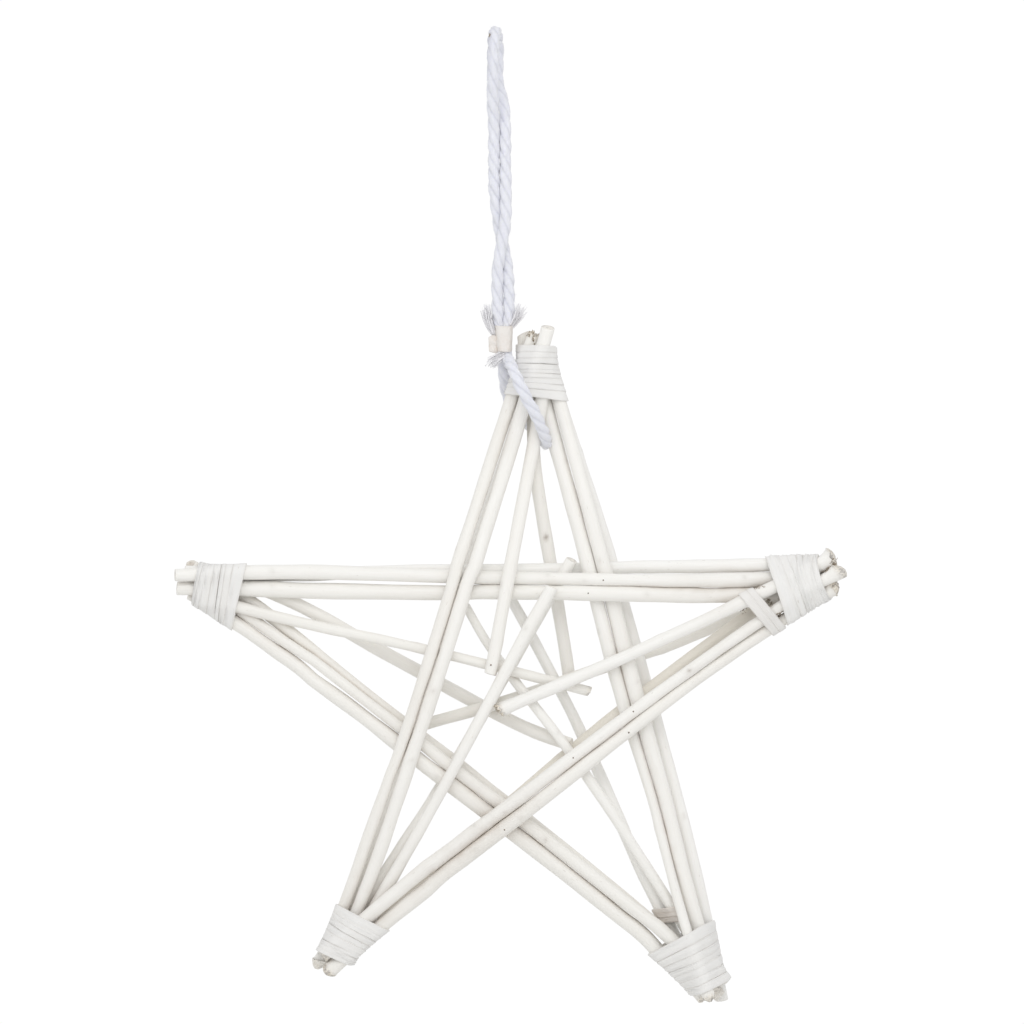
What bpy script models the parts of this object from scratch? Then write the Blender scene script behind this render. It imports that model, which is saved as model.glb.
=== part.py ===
"""A hanging star of peeled willow sticks, bound with split willow at its five tips.

Three sticks run along each of the five arms, and two shorter ones go from each tip
towards the middle. The sticks are pressed together from front to back until they rest
on each other, and each lashing is then wound round the sticks that it finds there.

The row's frame: X to the right, Y away from the viewer, Z up, metres. The origin is the
inside of the rope loop at its top, where a hook holds it.
"""

import math

import bmesh
import bpy
import numpy as np

MM = 0.001
SHARP_ANGLE = 50

# The star as a whole
STAR_RADIUS = 180 * MM
STAR_DROP = 339.4 * MM
STAR_SHIFT = 12.5 * MM

# Willow sticks
STICK_D = 6.8 * MM
STICK_SIDES = 8
STATION_SPACING = 22 * MM
STICK_CLEARANCE = 0.55 * MM
LAYER_LIFT = 18 * MM
TIP_SQUEEZE = 0.5
FEWEST_STATIONS = 8

# How the sticks settle: the pull back to the plan and to the middle plane, how freely a
# touch pushes them sideways, the springiness of a stick, and the rounds of it
GRIP = 0.15
TIP_GRIP = 0.14
PRESS = 0.03
SIDEWAYS = 0.4
TIP_SIDEWAYS = 1.0
SPRINGINESS = 0.05
LAST_SPRINGINESS = 0.01
ROUNDS = 700
LAST_ROUNDS = 500
LOOP_SPREAD = 4.0
CLOSE_ENOUGH = 0.05 * MM

# Lashings of split willow
STRIP_W = 3.2 * MM
STRIP_GAP = 0.35 * MM
STRIP_T = 1.1 * MM
STRIP_CLEARANCE = 0.45 * MM
STEPS_PER_TURN = 12

# Cotton rope, its tape band and its frayed ends
ROPE_D = 5.9 * MM
ROPE_RUN_GAP = 0.4 * MM
ROPE_POINT_SPACING = 2.2
ROPE_END_STEP = 2.0 * MM
JOINT_GAP = 0.35 * MM
BAND_TOP_W = 10.6 * MM
BAND_BOTTOM_W = 8.6 * MM
BAND_DEPTH = 12.6 * MM
BAND_TOP_X = 4.2 * MM
BAND_BOTTOM_X = 4.6 * MM
BAND_TOP_Z = -149.8 * MM
BAND_H = 13.5 * MM
BAND_CORNERS = 12
BAND_ROUNDING = 3
TUFT_SIDES = 6
TUFT_SHAPE = ((0.0, 0.3), (0.35, 0.5), (0.75, 0.42), (1.0, 0.12))

# Each tip: its direction from the middle and its distance in star radii, to the outer
# end of its lashing; then the lashing's own direction and its length.
TIPS = {
    "top": (86.7, 1.0, 89.0, 30 * MM),
    "left": (161.8, 0.996, 165.0, 26 * MM),
    "right": (20.4, 0.932, 18.0, 23 * MM),
    "lower_left": (235.6, 0.933, 243.0, 24 * MM),
    "lower_right": (302.9, 1.02, 300.0, 31 * MM),
}

# The arms' sticks: name, tips, layer from the front, thickness at both ends in stick
# diameters, length past both lashings, and how far the stick lies to the left of the
# straight line between the tips at five places along it, in stick diameters.
ARM_SHARES = (0.12, 0.3, 0.5, 0.7, 0.88)
ARM_STICKS = (
    ("arm_a_outer", "top", "lower_left", 0.0, (1.0, 0.85), (5, 5), (-0.57, -0.5, -0.48, -0.47, -0.69)),
    ("arm_a_inner", "top", "lower_left", 0.1, (1.05, 0.9), (11, 5), (0.62, 0.57, 0.69, 0.57, 0.44)),
    ("arm_a_back", "top", "lower_left", 3.3, (0.9, 0.9), (4, 9), (0.1, 0.05, 0.1, 0.1, -0.1)),
    ("arm_b_inner", "top", "lower_right", 2.0, (0.95, 0.8), (5, 6), (-0.82, -0.62, -0.75, -0.57, -0.7)),
    ("arm_b_outer", "top", "lower_right", 2.1, (1.05, 1.05), (6, 4), (0.41, 0.5, 0.48, 0.5, 0.35)),
    ("arm_b_back", "top", "lower_right", 3.5, (0.9, 0.95), (4, 5), (0.9, 1.1, 1.15, 1.1, 0.9)),
    ("arm_c_upper", "left", "right", 1.0, (0.92, 1.05), (9, 13), (0.74, 0.59, 0.32, 0.04, 0.0)),
    ("arm_c_lower", "left", "right", 1.1, (1.0, 1.12), (8, 8), (-0.38, -0.75, -0.93, -1.15, -1.4)),
    ("arm_c_back", "left", "right", 3.0, (0.9, 1.0), (4, 9), (0.85, 0.76, 0.76, 0.99, 1.04)),
    ("arm_d_lower", "left", "lower_right", 2.0, (0.9, 1.07), (5, 6), (-0.6, 0.06, 0.16, -0.07, -0.16)),
    ("arm_d_upper", "left", "lower_right", 2.1, (0.92, 1.12), (5, 5), (0.41, 1.1, 1.42, 1.3, 1.07)),
    ("arm_d_back", "left", "lower_right", 3.2, (0.9, 0.95), (5, 5), (1.4, 1.56, 1.6, 1.3, 0.9)),
    ("arm_e_upper", "right", "lower_left", 0.0, (0.9, 1.07), (8, 5), (-0.35, -0.82, -1.02, -1.12, -1.19)),
    ("arm_e_lower", "right", "lower_left", 0.1, (0.9, 1.07), (7, 8), (0.49, 0.07, 0.1, 0.19, 0.19)),
    ("arm_e_back", "right", "lower_left", 3.1, (0.9, 0.9), (5, 5), (-1.03, -1.47, -1.59, -0.9, -0.6)),
)

# The short sticks: name, tip, layer, thickness, length past the lashing, the free end's
# place from the middle in star radii, and the offsets as above.
SHORT_SHARES = (0.2, 0.45, 0.7, 0.95)
SHORT_STICKS = (
    ("short_top_front", "top", 0.2, (0.95, 0.88), 4, (-0.083, 0.045), (0.75, 0.57, 0.32, 0.0)),
    ("short_top_back", "top", 4.2, (0.95, 0.82), 4, (0.148, 0.019), (-1.0, -0.93, -0.53, -0.1)),
    ("short_left_front", "left", 1.2, (0.84, 0.85), 5, (0.206, 0.002), (-0.72, -0.4, -0.07, 0.0)),
    ("short_left_back", "left", 4.4, (0.95, 0.92), 5, (0.14, -0.166), (1.6, 1.16, 0.53, 0.1)),
    ("short_right_front", "right", 0.2, (1.0, 1.03), 8, (-0.057, -0.05), (-0.32, -0.32, 0.06, 0.0)),
    ("short_right_back", "right", 3.6, (0.9, 0.84), 5, (-0.288, -0.102), (0.56, 0.72, 0.54, 0.1)),
    ("short_lower_left_front", "lower_left", 0.2, (1.07, 1.02), 3, (0.093, 0.302), (-0.81, -0.53, -0.34, 0.0)),
    ("short_lower_left_back", "lower_left", 2.5, (0.9, 0.9), 5, (0.148, 0.386), (0.15, -0.4, -0.22, -0.1)),
    ("short_lower_right_front", "lower_right", 2.4, (0.95, 0.66), 4, (-0.167, 0.244), (-0.94, -0.99, -0.62, 0.0)),
    ("short_lower_right_back", "lower_right", 4.0, (0.95, 0.84), 5, (-0.037, 0.319), (0.78, 0.43, 0.09, 0.1)),
)

# The hanging loop: the middle between its two runs (height, x), the turn of the pair
# seen from above in degrees, and how far apart the runs are.
LOOP_BEND_R = 12.5 * MM
HANGER_PAIR = (
    (-22 * MM, 0.3 * MM, 90, 21 * MM),
    (-35 * MM, 1.4 * MM, 60, 12 * MM),
    (-48 * MM, 2.1 * MM, 12, 0),
    (-64 * MM, 2.2 * MM, 0, 0),
    (-78 * MM, 2.4 * MM, -8, 0),
    (-95 * MM, 3.3 * MM, -50, 0),
    (-107 * MM, 3.5 * MM, -95, 0),
    (-118 * MM, 3.7 * MM, -140, 0),
    (-130 * MM, 3.9 * MM, -172, 0),
    (-142 * MM, 4.1 * MM, -180, 0),
)

# The lower loop's route, from the band's underside round the left bundle and back
LOWER_LOOP = (
    (5.4, -3.2, -163.7),
    (5.3, -3.3, -166.2),
    (4.4, -9.6, -169.6),
    (5.6, -16.6, -172.6),
    (9.2, -20.6, -177.0),
    (13.4, -21.4, -183.0),
    (16.8, -20.4, -189.0),
    (20.2, -17.8, -195.5),
    (23.3, -14.0, -202.0),
    (25.6, -9.0, -208.5),
    (26.7, -2.5, -213.0),
    (26.7, 4.0, -214.5),
    (25.2, 10.2, -212.5),
    (21.5, 15.0, -207.5),
    (15.8, 17.6, -201.5),
    (9.4, 17.8, -195.5),
    (3.8, 15.0, -189.0),
    (1.4, 11.4, -182.0),
    (1.1, 7.6, -175.0),
    (2.3, 4.2, -168.6),
    (3.0, 3.2, -166.0),
    (3.2, 3.2, -163.7),
)

# Frayed rope ends: name, foot and point of the tuft in mm, and its thickness
FRAYED_ENDS = (
    ("frayed_end_left", (-4.0, 0.6, -150.3), (-6.4, 1.2, -138.2), 4.6 * MM),
    ("frayed_end_right", (12.4, -0.4, -149.9), (16.2, -1.5, -137.4), 5.4 * MM),
    ("frayed_end_lower", (-1.8, -2.8, -163.7), (-2.6, -3.8, -171.8), 5.0 * MM),
)

COLOURS = {
    "willow": ((0.84, 0.82, 0.76, 1), 0.62),
    "strip": ((0.86, 0.83, 0.77, 1), 0.55),
    "rope": ((0.86, 0.87, 0.88, 1), 0.9),
    "tape": ((0.82, 0.76, 0.66, 1), 0.6),
}


def clear_scene():
    for obj in list(bpy.data.objects):
        bpy.data.objects.remove(obj)


def material(slot):
    found = bpy.data.materials.get(slot)
    if found:
        return found
    colour, roughness = COLOURS[slot]
    made = bpy.data.materials.new(slot)
    made.use_nodes = True
    shader = made.node_tree.nodes["Principled BSDF"]
    shader.inputs["Base Color"].default_value = colour
    shader.inputs["Roughness"].default_value = roughness
    shader.inputs["Metallic"].default_value = 0.0
    return made


def add_mesh(name, verts, faces, slot):
    """A closed mesh object with its faces pointing out."""
    mesh = bpy.data.meshes.new(name)
    mesh.from_pydata([tuple(v) for v in verts], [], faces)
    bm = bmesh.new()
    bm.from_mesh(mesh)
    bmesh.ops.recalc_face_normals(bm, faces=bm.faces)
    bm.to_mesh(mesh)
    bm.free()
    mesh.materials.append(material(slot))
    mesh.shade_smooth()
    mesh.set_sharp_from_angle(angle=math.radians(SHARP_ANGLE))
    obj = bpy.data.objects.new(name, mesh)
    bpy.context.collection.objects.link(obj)
    return obj


# Curves


def smooth_curve(points, per_span=12):
    """A Catmull-Rom curve through the points, whose speed follows their spacing."""
    p = np.asarray(points, float)
    p = np.vstack([2 * p[0] - p[1], p, 2 * p[-1] - p[-2]])
    t = np.concatenate([[0], np.cumsum(np.sqrt(np.linalg.norm(np.diff(p, axis=0), axis=1)))])
    out = []
    for k in range(1, len(p) - 2):
        u = np.linspace(t[k], t[k + 1], per_span, endpoint=False)[:, None]
        t0, t1, t2, t3 = t[k - 1:k + 3]
        a1 = ((t1 - u) * p[k - 1] + (u - t0) * p[k]) / (t1 - t0)
        a2 = ((t2 - u) * p[k] + (u - t1) * p[k + 1]) / (t2 - t1)
        a3 = ((t3 - u) * p[k + 1] + (u - t2) * p[k + 2]) / (t3 - t2)
        b1 = ((t2 - u) * a1 + (u - t0) * a2) / (t2 - t0)
        b2 = ((t3 - u) * a2 + (u - t1) * a3) / (t3 - t1)
        out.append(((t2 - u) * b1 + (u - t1) * b2) / (t2 - t1))
    out.append(p[-2][None, :])
    return np.vstack(out)


def even(line, count):
    """The line again with that many points at even distances."""
    along = np.concatenate([[0], np.cumsum(np.linalg.norm(np.diff(line, axis=0), axis=1))])
    at = np.linspace(0, along[-1], count)
    return np.stack([np.interp(at, along, line[:, k]) for k in range(line.shape[1])], axis=1)


def length_of(line):
    return float(np.linalg.norm(np.diff(line, axis=0), axis=1).sum())


# The plan of the star


def unit(degrees):
    return np.array([math.cos(math.radians(degrees)), math.sin(math.radians(degrees))])


def middle():
    return np.array([STAR_SHIFT, -STAR_DROP])


def tip_point(tip):
    """The outer end of a tip's lashing, in the star's plane."""
    angle, share, _, _ = TIPS[tip]
    return middle() + STAR_RADIUS * share * unit(angle)


def plan_route(start, end, shares, offsets, past):
    """A stick's route in the star's plane: offsets from a straight line, squeezed in at the tips."""
    along = end - start
    span = float(np.linalg.norm(along))
    along = along / span
    left = np.array([-along[1], along[0]])
    first, last = -past[0] * MM, span + past[1] * MM
    points = [start + along * first + left * offsets[0] * STICK_D * TIP_SQUEEZE]
    points += [start + along * span * s + left * o * STICK_D for s, o in zip(shares, offsets)]
    closing = TIP_SQUEEZE if shares is ARM_SHARES else 1.0
    points.append(start + along * last + left * offsets[-1] * STICK_D * closing)
    return smooth_curve(points)


def stick_plans():
    """Every stick's name, layer, radii at both ends and route in the star's plane."""
    plans = []
    for name, a, b, layer, thick, past, offsets in ARM_STICKS:
        route = plan_route(tip_point(a), tip_point(b), ARM_SHARES, offsets, past)
        plans.append((name, layer, thick, route))
    for name, tip, layer, thick, past, inner, offsets in SHORT_STICKS:
        end = middle() + STAR_RADIUS * np.array(inner)
        route = plan_route(tip_point(tip), end, SHORT_SHARES, offsets, (past, 0))
        plans.append((name, layer, thick, route))
    return plans


# Settling: the sticks are pressed together until they rest on each other


def nearest_between(p1, q1, p2, q2):
    """The nearest places on pairs of straight segments, as shares along each."""
    d1, d2, r = q1 - p1, q2 - p2, p1 - p2
    a, e = (d1 * d1).sum(1), (d2 * d2).sum(1)
    b, c, f = (d1 * d2).sum(1), (d1 * r).sum(1), (d2 * r).sum(1)
    flat = np.maximum(a * e - b * b, 1e-9 * a * e)
    s = np.clip((b * f - c * e) / flat, 0, 1)
    t = np.clip((b * s + f) / e, 0, 1)
    s = np.clip((b * t - c) / a, 0, 1)
    return s, t


class Bundle:
    """Chains of points with a radius each; a fixed chain stays where it is."""

    def __init__(self):
        self.points, self.radii, self.grips = [], [], []
        self.first, self.count, self.fixed = [], [], []

    def add(self, points, radii, grip, fixed=False):
        self.first.append(sum(self.count))
        self.count.append(len(points))
        self.points.append(points)
        self.radii.append(radii)
        self.grips.append(grip)
        self.fixed.append(fixed)

    def gather(self):
        self.p = np.vstack(self.points)
        self.r = np.concatenate(self.radii)
        self.grip = np.concatenate(self.grips)
        self.slide = np.where(self.grip == TIP_GRIP, TIP_SIDEWAYS, SIDEWAYS)
        self.target = self.p.copy()
        self.free = np.concatenate([np.full(c, 0.0 if f else 1.0) for c, f in zip(self.count, self.fixed)])
        self.seg = np.concatenate([np.arange(a, a + c - 1) for a, c in zip(self.first, self.count)])
        self.owner = np.concatenate([np.full(c - 1, i) for i, c in enumerate(self.count)])
        inner = [np.arange(a + 2, a + c - 2) for a, c in zip(self.first, self.count)]
        self.inner = np.concatenate(inner)

    def find_pairs(self):
        """The pairs of segments of different chains that are near each other."""
        mid = (self.p[self.seg] + self.p[self.seg + 1]) / 2
        half = np.linalg.norm(self.p[self.seg + 1] - self.p[self.seg], axis=1) / 2
        reach = half[:, None] + half[None, :] + 2.2 * self.r.max()
        gap = np.sqrt(((mid[:, None, :] - mid[None, :, :]) ** 2).sum(2))
        near = (gap < reach) & (self.owner[:, None] < self.owner[None, :])
        self.i, self.j = np.nonzero(near)

    def contacts(self):
        """Each near pair: its segments, the nearest places, the way between and what is short."""
        a, b = self.seg[self.i], self.seg[self.j]
        p1, q1, p2, q2 = self.p[a], self.p[a + 1], self.p[b], self.p[b + 1]
        s, t = nearest_between(p1, q1, p2, q2)
        away = p1 + s[:, None] * (q1 - p1) - p2 - t[:, None] * (q2 - p2)
        far = np.linalg.norm(away, axis=1)
        need = self.r[a] * (1 - s) + self.r[a + 1] * s + self.r[b] * (1 - t) + self.r[b + 1] * t
        return a, b, s, t, away, far, need + STICK_CLEARANCE - far

    def push_apart(self, strength):
        """Moves touching sticks apart, more in depth than sideways, and gives the worst touch."""
        a, b, s, t, away, far, short = self.contacts()
        hit = short > 0
        if not hit.any():
            return 0.0
        a, b, s, t, short = a[hit], b[hit], s[hit], t[hit], short[hit]
        way = away[hit] / np.maximum(far[hit], 1e-6)[:, None]
        lean = way.copy()
        lean[:, ::2] *= np.minimum(self.slide[a], self.slide[b])[:, None]
        lean /= np.linalg.norm(lean, axis=1)[:, None]
        short = short / np.maximum((way * lean).sum(1), 0.5)
        move, uses = np.zeros_like(self.p), np.full(len(self.p), 1e-9)
        share_a, share_b = self.free[a], self.free[b]
        total = share_a + share_b + 1e-9
        for end, share, own, sign in ((a, 1 - s, share_a, 1), (a + 1, s, share_a, 1),
                                      (b, 1 - t, share_b, -1), (b + 1, t, share_b, -1)):
            step = sign * (strength * short * own / total)[:, None] * lean * share[:, None]
            np.add.at(move, end, step)
            np.add.at(uses, end, share)
        self.p += move / np.maximum(uses, 0.35)[:, None] * 1.35
        return float(short.max())

    def stiffen(self, amount):
        """Evens out the bending along each chain, as a springy stick does."""
        bend = np.zeros_like(self.p)
        k = self.inner
        bend[k] = (self.p[k - 2] - 4 * self.p[k - 1] + 6 * self.p[k] - 4 * self.p[k + 1] + self.p[k + 2])
        self.p -= amount * bend * self.free[:, None]
        for a, c, fixed in zip(self.first, self.count, self.fixed):
            if not fixed:
                for end, one, two in ((a, a + 1, a + 2), (a + c - 1, a + c - 2, a + c - 3)):
                    self.p[end, 1] += 4 * amount * (2 * self.p[one, 1] - self.p[two, 1] - self.p[end, 1])
                    self.p[one, 1] += amount * ((self.p[end, 1] + self.p[two, 1]) / 2 - self.p[one, 1])

    def settle(self):
        """Lets the chains come to rest; the fixed loop starts spread open in depth and closes."""
        self.gather()
        hold = self.free[:, None] * np.array([[1.0, 0.0, 1.0]]) * self.grip[:, None]
        press = PRESS * self.free
        still = np.nonzero(self.free == 0)[0]
        for step in range(ROUNDS):
            if step % 20 == 0:
                self.find_pairs()
            opened = max(1.0, LOOP_SPREAD - (LOOP_SPREAD - 1) * step / (0.5 * ROUNDS))
            self.p[still, 1] = self.target[still, 1] * opened
            self.p += hold * (self.target - self.p)
            self.p[:, 1] -= press * self.p[:, 1]
            self.stiffen(SPRINGINESS)
            self.push_apart(0.9)
        for step in range(LAST_ROUNDS):
            if step % 20 == 0:
                self.find_pairs()
            if step < LAST_ROUNDS * 0.5:
                self.stiffen(LAST_SPRINGINESS)
            if self.push_apart(1.0) < CLOSE_ENOUGH and step > LAST_ROUNDS * 0.5:
                break
        self.p = np.round(self.p, 5)


def settled_sticks(loop_line):
    """Every stick's name, its points in space and its radius at each."""
    plans = stick_plans()
    bundle = Bundle()
    for name, layer, thick, route in plans:
        count = max(FEWEST_STATIONS, round(length_of(route) / STATION_SPACING) + 1)
        flat = even(route, count)
        depth = np.full(count, (layer - 2) * LAYER_LIFT)
        points = np.stack([flat[:, 0], depth, flat[:, 1]], axis=1)
        radii = np.linspace(thick[0], thick[1], count) * STICK_D / 2
        grip = np.full(count, GRIP)
        grip[:2] = TIP_GRIP
        if name.startswith("arm"):
            grip[-2:] = TIP_GRIP
        bundle.add(points, radii, grip)
    loop_radii = np.full(len(loop_line), ROPE_D / 2)
    bundle.add(loop_line, loop_radii, np.zeros(len(loop_line)), fixed=True)
    bundle.settle()
    out = []
    for (name, *_), a, c in zip(plans, bundle.first, bundle.count):
        out.append((name, bundle.p[a:a + c], bundle.r[a:a + c]))
    return out


# Solids


def rings(line, radii, sides):
    """Rings of points round a line, turned as little as possible from one to the next."""
    tangent = np.gradient(line, axis=0)
    tangent /= np.linalg.norm(tangent, axis=1)[:, None]
    side = np.cross(tangent[0], (0.0, 1.0, 0.0))
    side /= np.linalg.norm(side)
    angles = np.arange(sides) * 2 * math.pi / sides + math.pi / sides
    out = []
    for point, way, radius in zip(line, tangent, radii):
        side = side - way * (side @ way)
        side /= np.linalg.norm(side)
        up = np.cross(way, side)
        ring = np.cos(angles)[:, None] * side + np.sin(angles)[:, None] * up
        out.append(point + radius * ring)
    return out


def skin(loops):
    """The faces of a tube through equal rings, with both ends closed."""
    sides, count = len(loops[0]), len(loops)
    faces = []
    for k in range(count - 1):
        for i in range(sides):
            j = (i + 1) % sides
            faces.append((k * sides + i, k * sides + j, (k + 1) * sides + j, (k + 1) * sides + i))
    faces.append(tuple(range(sides)))
    faces.append(tuple(range((count - 1) * sides, count * sides)))
    return np.vstack(loops), faces


def add_stick(name, line, radii):
    """A stick whose flat sides stand for a round one of the same section area."""
    turn = 2 * math.pi / STICK_SIDES
    fuller = math.sqrt(turn / math.sin(turn))
    verts, faces = skin(rings(line, radii * fuller, STICK_SIDES))
    return add_mesh(name, verts, faces, "willow")


def sections_at(sticks, origin, outward, station):
    """Where each stick crosses a plane across a lashing: centre, slant and radius."""
    across = np.array([-outward[2], 0.0, outward[0]])
    found = []
    for _, line, radii in sticks:
        reach = (line - origin) @ outward - station
        for k in np.nonzero(reach[:-1] * reach[1:] <= 0)[0]:
            t = reach[k] / (reach[k] - reach[k + 1] + 1e-12)
            point = line[k] + t * (line[k + 1] - line[k]) - origin
            way = line[k + 1] - line[k]
            way = way / np.linalg.norm(way)
            slope = way - outward * (way @ outward)
            lean = np.array([slope @ across, slope[1]])
            radius = radii[k] * (1 - t) + radii[k + 1] * t
            found.append((np.array([point @ across, point[1]]), lean, abs(way @ outward), radius))
    return found


def reach_of(sections, direction):
    """How far the sticks reach in a direction across the lashing."""
    best = -1.0
    for centre, lean, cosine, radius in sections:
        along = radius * math.sqrt(1 + (lean @ direction) ** 2 / max(cosine, 0.3) ** 2)
        best = max(best, centre @ direction + along)
    return best


def hull_corner(sections, k, steps, margin):
    """The corner between two neighbouring tangent lines round the sections."""
    a0 = 2 * math.pi * k / steps
    a1 = 2 * math.pi * (k + 1) / steps
    n0, n1 = np.array([math.cos(a0), math.sin(a0)]), np.array([math.cos(a1), math.sin(a1)])
    h0, h1 = reach_of(sections, n0) + margin, reach_of(sections, n1) + margin
    det = n0[0] * n1[1] - n0[1] * n1[0]
    return np.array([(h0 * n1[1] - h1 * n0[1]) / det, (h1 * n0[0] - h0 * n1[0]) / det])


def add_lashing(name, sticks, origin, direction, turns):
    """One flat strip wound round the sticks, from its outer end inwards."""
    outward = np.array([unit(direction)[0], 0.0, unit(direction)[1]])
    across = np.array([-outward[2], 0.0, outward[0]])
    deep = np.array([0.0, 1.0, 0.0])
    pitch = STRIP_W + STRIP_GAP
    steps = round(turns * STEPS_PER_TURN)
    loops = []
    for k in range(steps + 1):
        station = -pitch * k / STEPS_PER_TURN
        inner, outer = [], []
        for edge in (station, station - STRIP_W):
            found = []
            for lead in (-0.5 * pitch, 0.0, 0.5 * pitch):
                found += sections_at(sticks, origin, outward, edge + lead)
            for margin, row in ((STRIP_CLEARANCE, inner), (STRIP_CLEARANCE + STRIP_T, outer)):
                u, v = hull_corner(found, k % STEPS_PER_TURN, STEPS_PER_TURN, margin)
                row.append(origin + outward * edge + across * u + deep * v)
        loops.append(np.array([inner[0], inner[1], outer[1], outer[0]]))
    verts, faces = skin(loops)
    return add_mesh(name, verts, faces, "strip")


def add_rope(name, line):
    """A plain tube along the rope's middle."""
    curve = bpy.data.curves.new(name, "CURVE")
    curve.dimensions = "3D"
    curve.bevel_depth = ROPE_D / 2
    curve.bevel_resolution = 2
    curve.use_fill_caps = True
    spline = curve.splines.new("POLY")
    spline.points.add(len(line) - 1)
    for point, place in zip(spline.points, line):
        point.co = (*place, 1.0)
    curve.materials.append(material("rope"))
    obj = bpy.data.objects.new(name, curve)
    bpy.context.collection.objects.link(obj)
    return obj


def hanger_line():
    """Up one run from the band, over the hook and down the other run."""
    runs = ([], [])
    for height, x, turn, apart in HANGER_PAIR:
        half = max(apart, ROPE_D + ROPE_RUN_GAP) / 2
        for run, sign in zip(runs, (1, -1)):
            c, s = math.cos(math.radians(turn)), math.sin(math.radians(turn))
            run.append((x + sign * half * c, sign * half * s, height))
    last = BAND_TOP_Z + JOINT_GAP
    for run in runs:
        run.append((run[-1][0] + 0.1 * MM, run[-1][1], last))
    top = ROPE_D / 2 - LOOP_BEND_R
    arc = [(0.0, LOOP_BEND_R * math.cos(math.radians(a)), top + LOOP_BEND_R * math.sin(math.radians(a)))
           for a in range(0, 181, 30)]
    return smooth_curve(list(reversed(runs[0])) + arc + runs[1])


def lower_loop_line():
    return smooth_curve([tuple(v * MM for v in p) for p in LOWER_LOOP])


def rope_points(line):
    """A point every two or three diameters, and one near each end, so that its face lies flat."""
    points = even(line, round(length_of(line) / (ROPE_POINT_SPACING * ROPE_D)) + 1)
    near = even(line, round(length_of(line) / ROPE_END_STEP) + 1)
    return np.vstack([points[:1], near[1:2], points[1:-1], near[-2:-1], points[-1:]])


def add_band():
    """The tape wound round the four rope runs: a rounded block, narrower below."""
    loops = []
    for z, x, width in ((BAND_TOP_Z, BAND_TOP_X, BAND_TOP_W),
                        (BAND_TOP_Z - BAND_H, BAND_BOTTOM_X, BAND_BOTTOM_W)):
        loop = []
        for k in range(BAND_CORNERS):
            a = 2 * math.pi * (k + 0.5) / BAND_CORNERS
            c, s = math.cos(a), math.sin(a)
            round_off = (abs(c) ** BAND_ROUNDING + abs(s) ** BAND_ROUNDING) ** (-1 / BAND_ROUNDING)
            loop.append((x + width / 2 * c * round_off, BAND_DEPTH / 2 * s * round_off, z))
        loops.append(np.array(loop))
    verts, faces = skin(loops)
    return add_mesh("tape_band", verts, faces, "tape")


def add_frayed_end(name, foot, point, thick):
    """A loose tuft of fibres: it swells from its foot and thins to a blunt point."""
    foot, point = np.array(foot) * MM, np.array(point) * MM
    share, swell = np.array(TUFT_SHAPE).T
    line = foot + (point - foot) * share[:, None]
    verts, faces = skin(rings(line, swell * thick, TUFT_SIDES))
    return add_mesh(name, verts, faces, "rope")


def build():
    clear_scene()
    loop = rope_points(lower_loop_line())
    sticks = settled_sticks(loop)
    for name, line, radii in sticks:
        add_stick(name, line, radii)
    for tip, (_, _, direction, length) in TIPS.items():
        point = tip_point(tip)
        origin = np.array([point[0], 0.0, point[1]])
        turns = round(length / (STRIP_W + STRIP_GAP)) - 0.5
        add_lashing(f"lashing_{tip}", sticks, origin, direction, turns)
    add_rope("rope_hanging_loop", rope_points(hanger_line()))
    add_rope("rope_lower_loop", loop)
    add_band()
    for name, foot, point, thick in FRAYED_ENDS:
        add_frayed_end(name, foot, point, thick)


build()
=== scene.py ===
"""The looks of a hanging willow star: peeled sticks, split-willow lashings and a cotton rope."""

import math

import bmesh
import bpy
import numpy as np
from bpy.props import FloatProperty, FloatVectorProperty, IntProperty, PointerProperty
from bpy.types import Operator, Panel, PropertyGroup
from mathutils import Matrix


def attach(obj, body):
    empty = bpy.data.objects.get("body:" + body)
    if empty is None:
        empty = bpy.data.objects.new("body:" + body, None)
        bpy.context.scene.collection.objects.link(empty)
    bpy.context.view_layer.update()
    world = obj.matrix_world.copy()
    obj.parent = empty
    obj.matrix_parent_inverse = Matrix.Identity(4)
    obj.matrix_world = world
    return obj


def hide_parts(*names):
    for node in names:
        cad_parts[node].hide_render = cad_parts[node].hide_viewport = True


bl_info = {
    "name": "Willow Star",
    "version": (1, 0, 0),
    "blender": (4, 5, 0),
    "location": "View3D > Sidebar > Willow Star",
    "description": "Builds a hanging star of peeled willow with its lashings and cotton rope",
    "category": "Add Mesh",
}

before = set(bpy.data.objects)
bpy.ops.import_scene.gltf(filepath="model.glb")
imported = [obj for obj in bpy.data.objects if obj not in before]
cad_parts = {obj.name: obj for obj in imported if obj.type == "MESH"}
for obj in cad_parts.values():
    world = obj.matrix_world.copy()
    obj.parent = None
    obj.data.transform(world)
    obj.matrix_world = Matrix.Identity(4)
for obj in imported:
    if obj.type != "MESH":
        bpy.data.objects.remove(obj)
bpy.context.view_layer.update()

MM = 0.001
BODY = "root"

# The direction away from the camera
BACK = np.array([0.0, 1.0, 0.0])

# How finely curves and skins are worked out: steps between two points of a line and of a
# rope's route, corners round a fibre and a direction that few fibres run in, from which their
# corners start, and points that are compared with the sticks at once
SPAN_STEPS = 24
ROUTE_STEPS = 16
FIBRE_SIDES = 4
FIBRE_ASIDE = (0.31, 0.92, 0.24)
POINTS_AT_ONCE = 1500

# The sines that a wandering value is made of: how many, and between which rates they lie
WANDER_WAVES = 6
WANDER_RATES = (0.6, 5.0)

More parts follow.
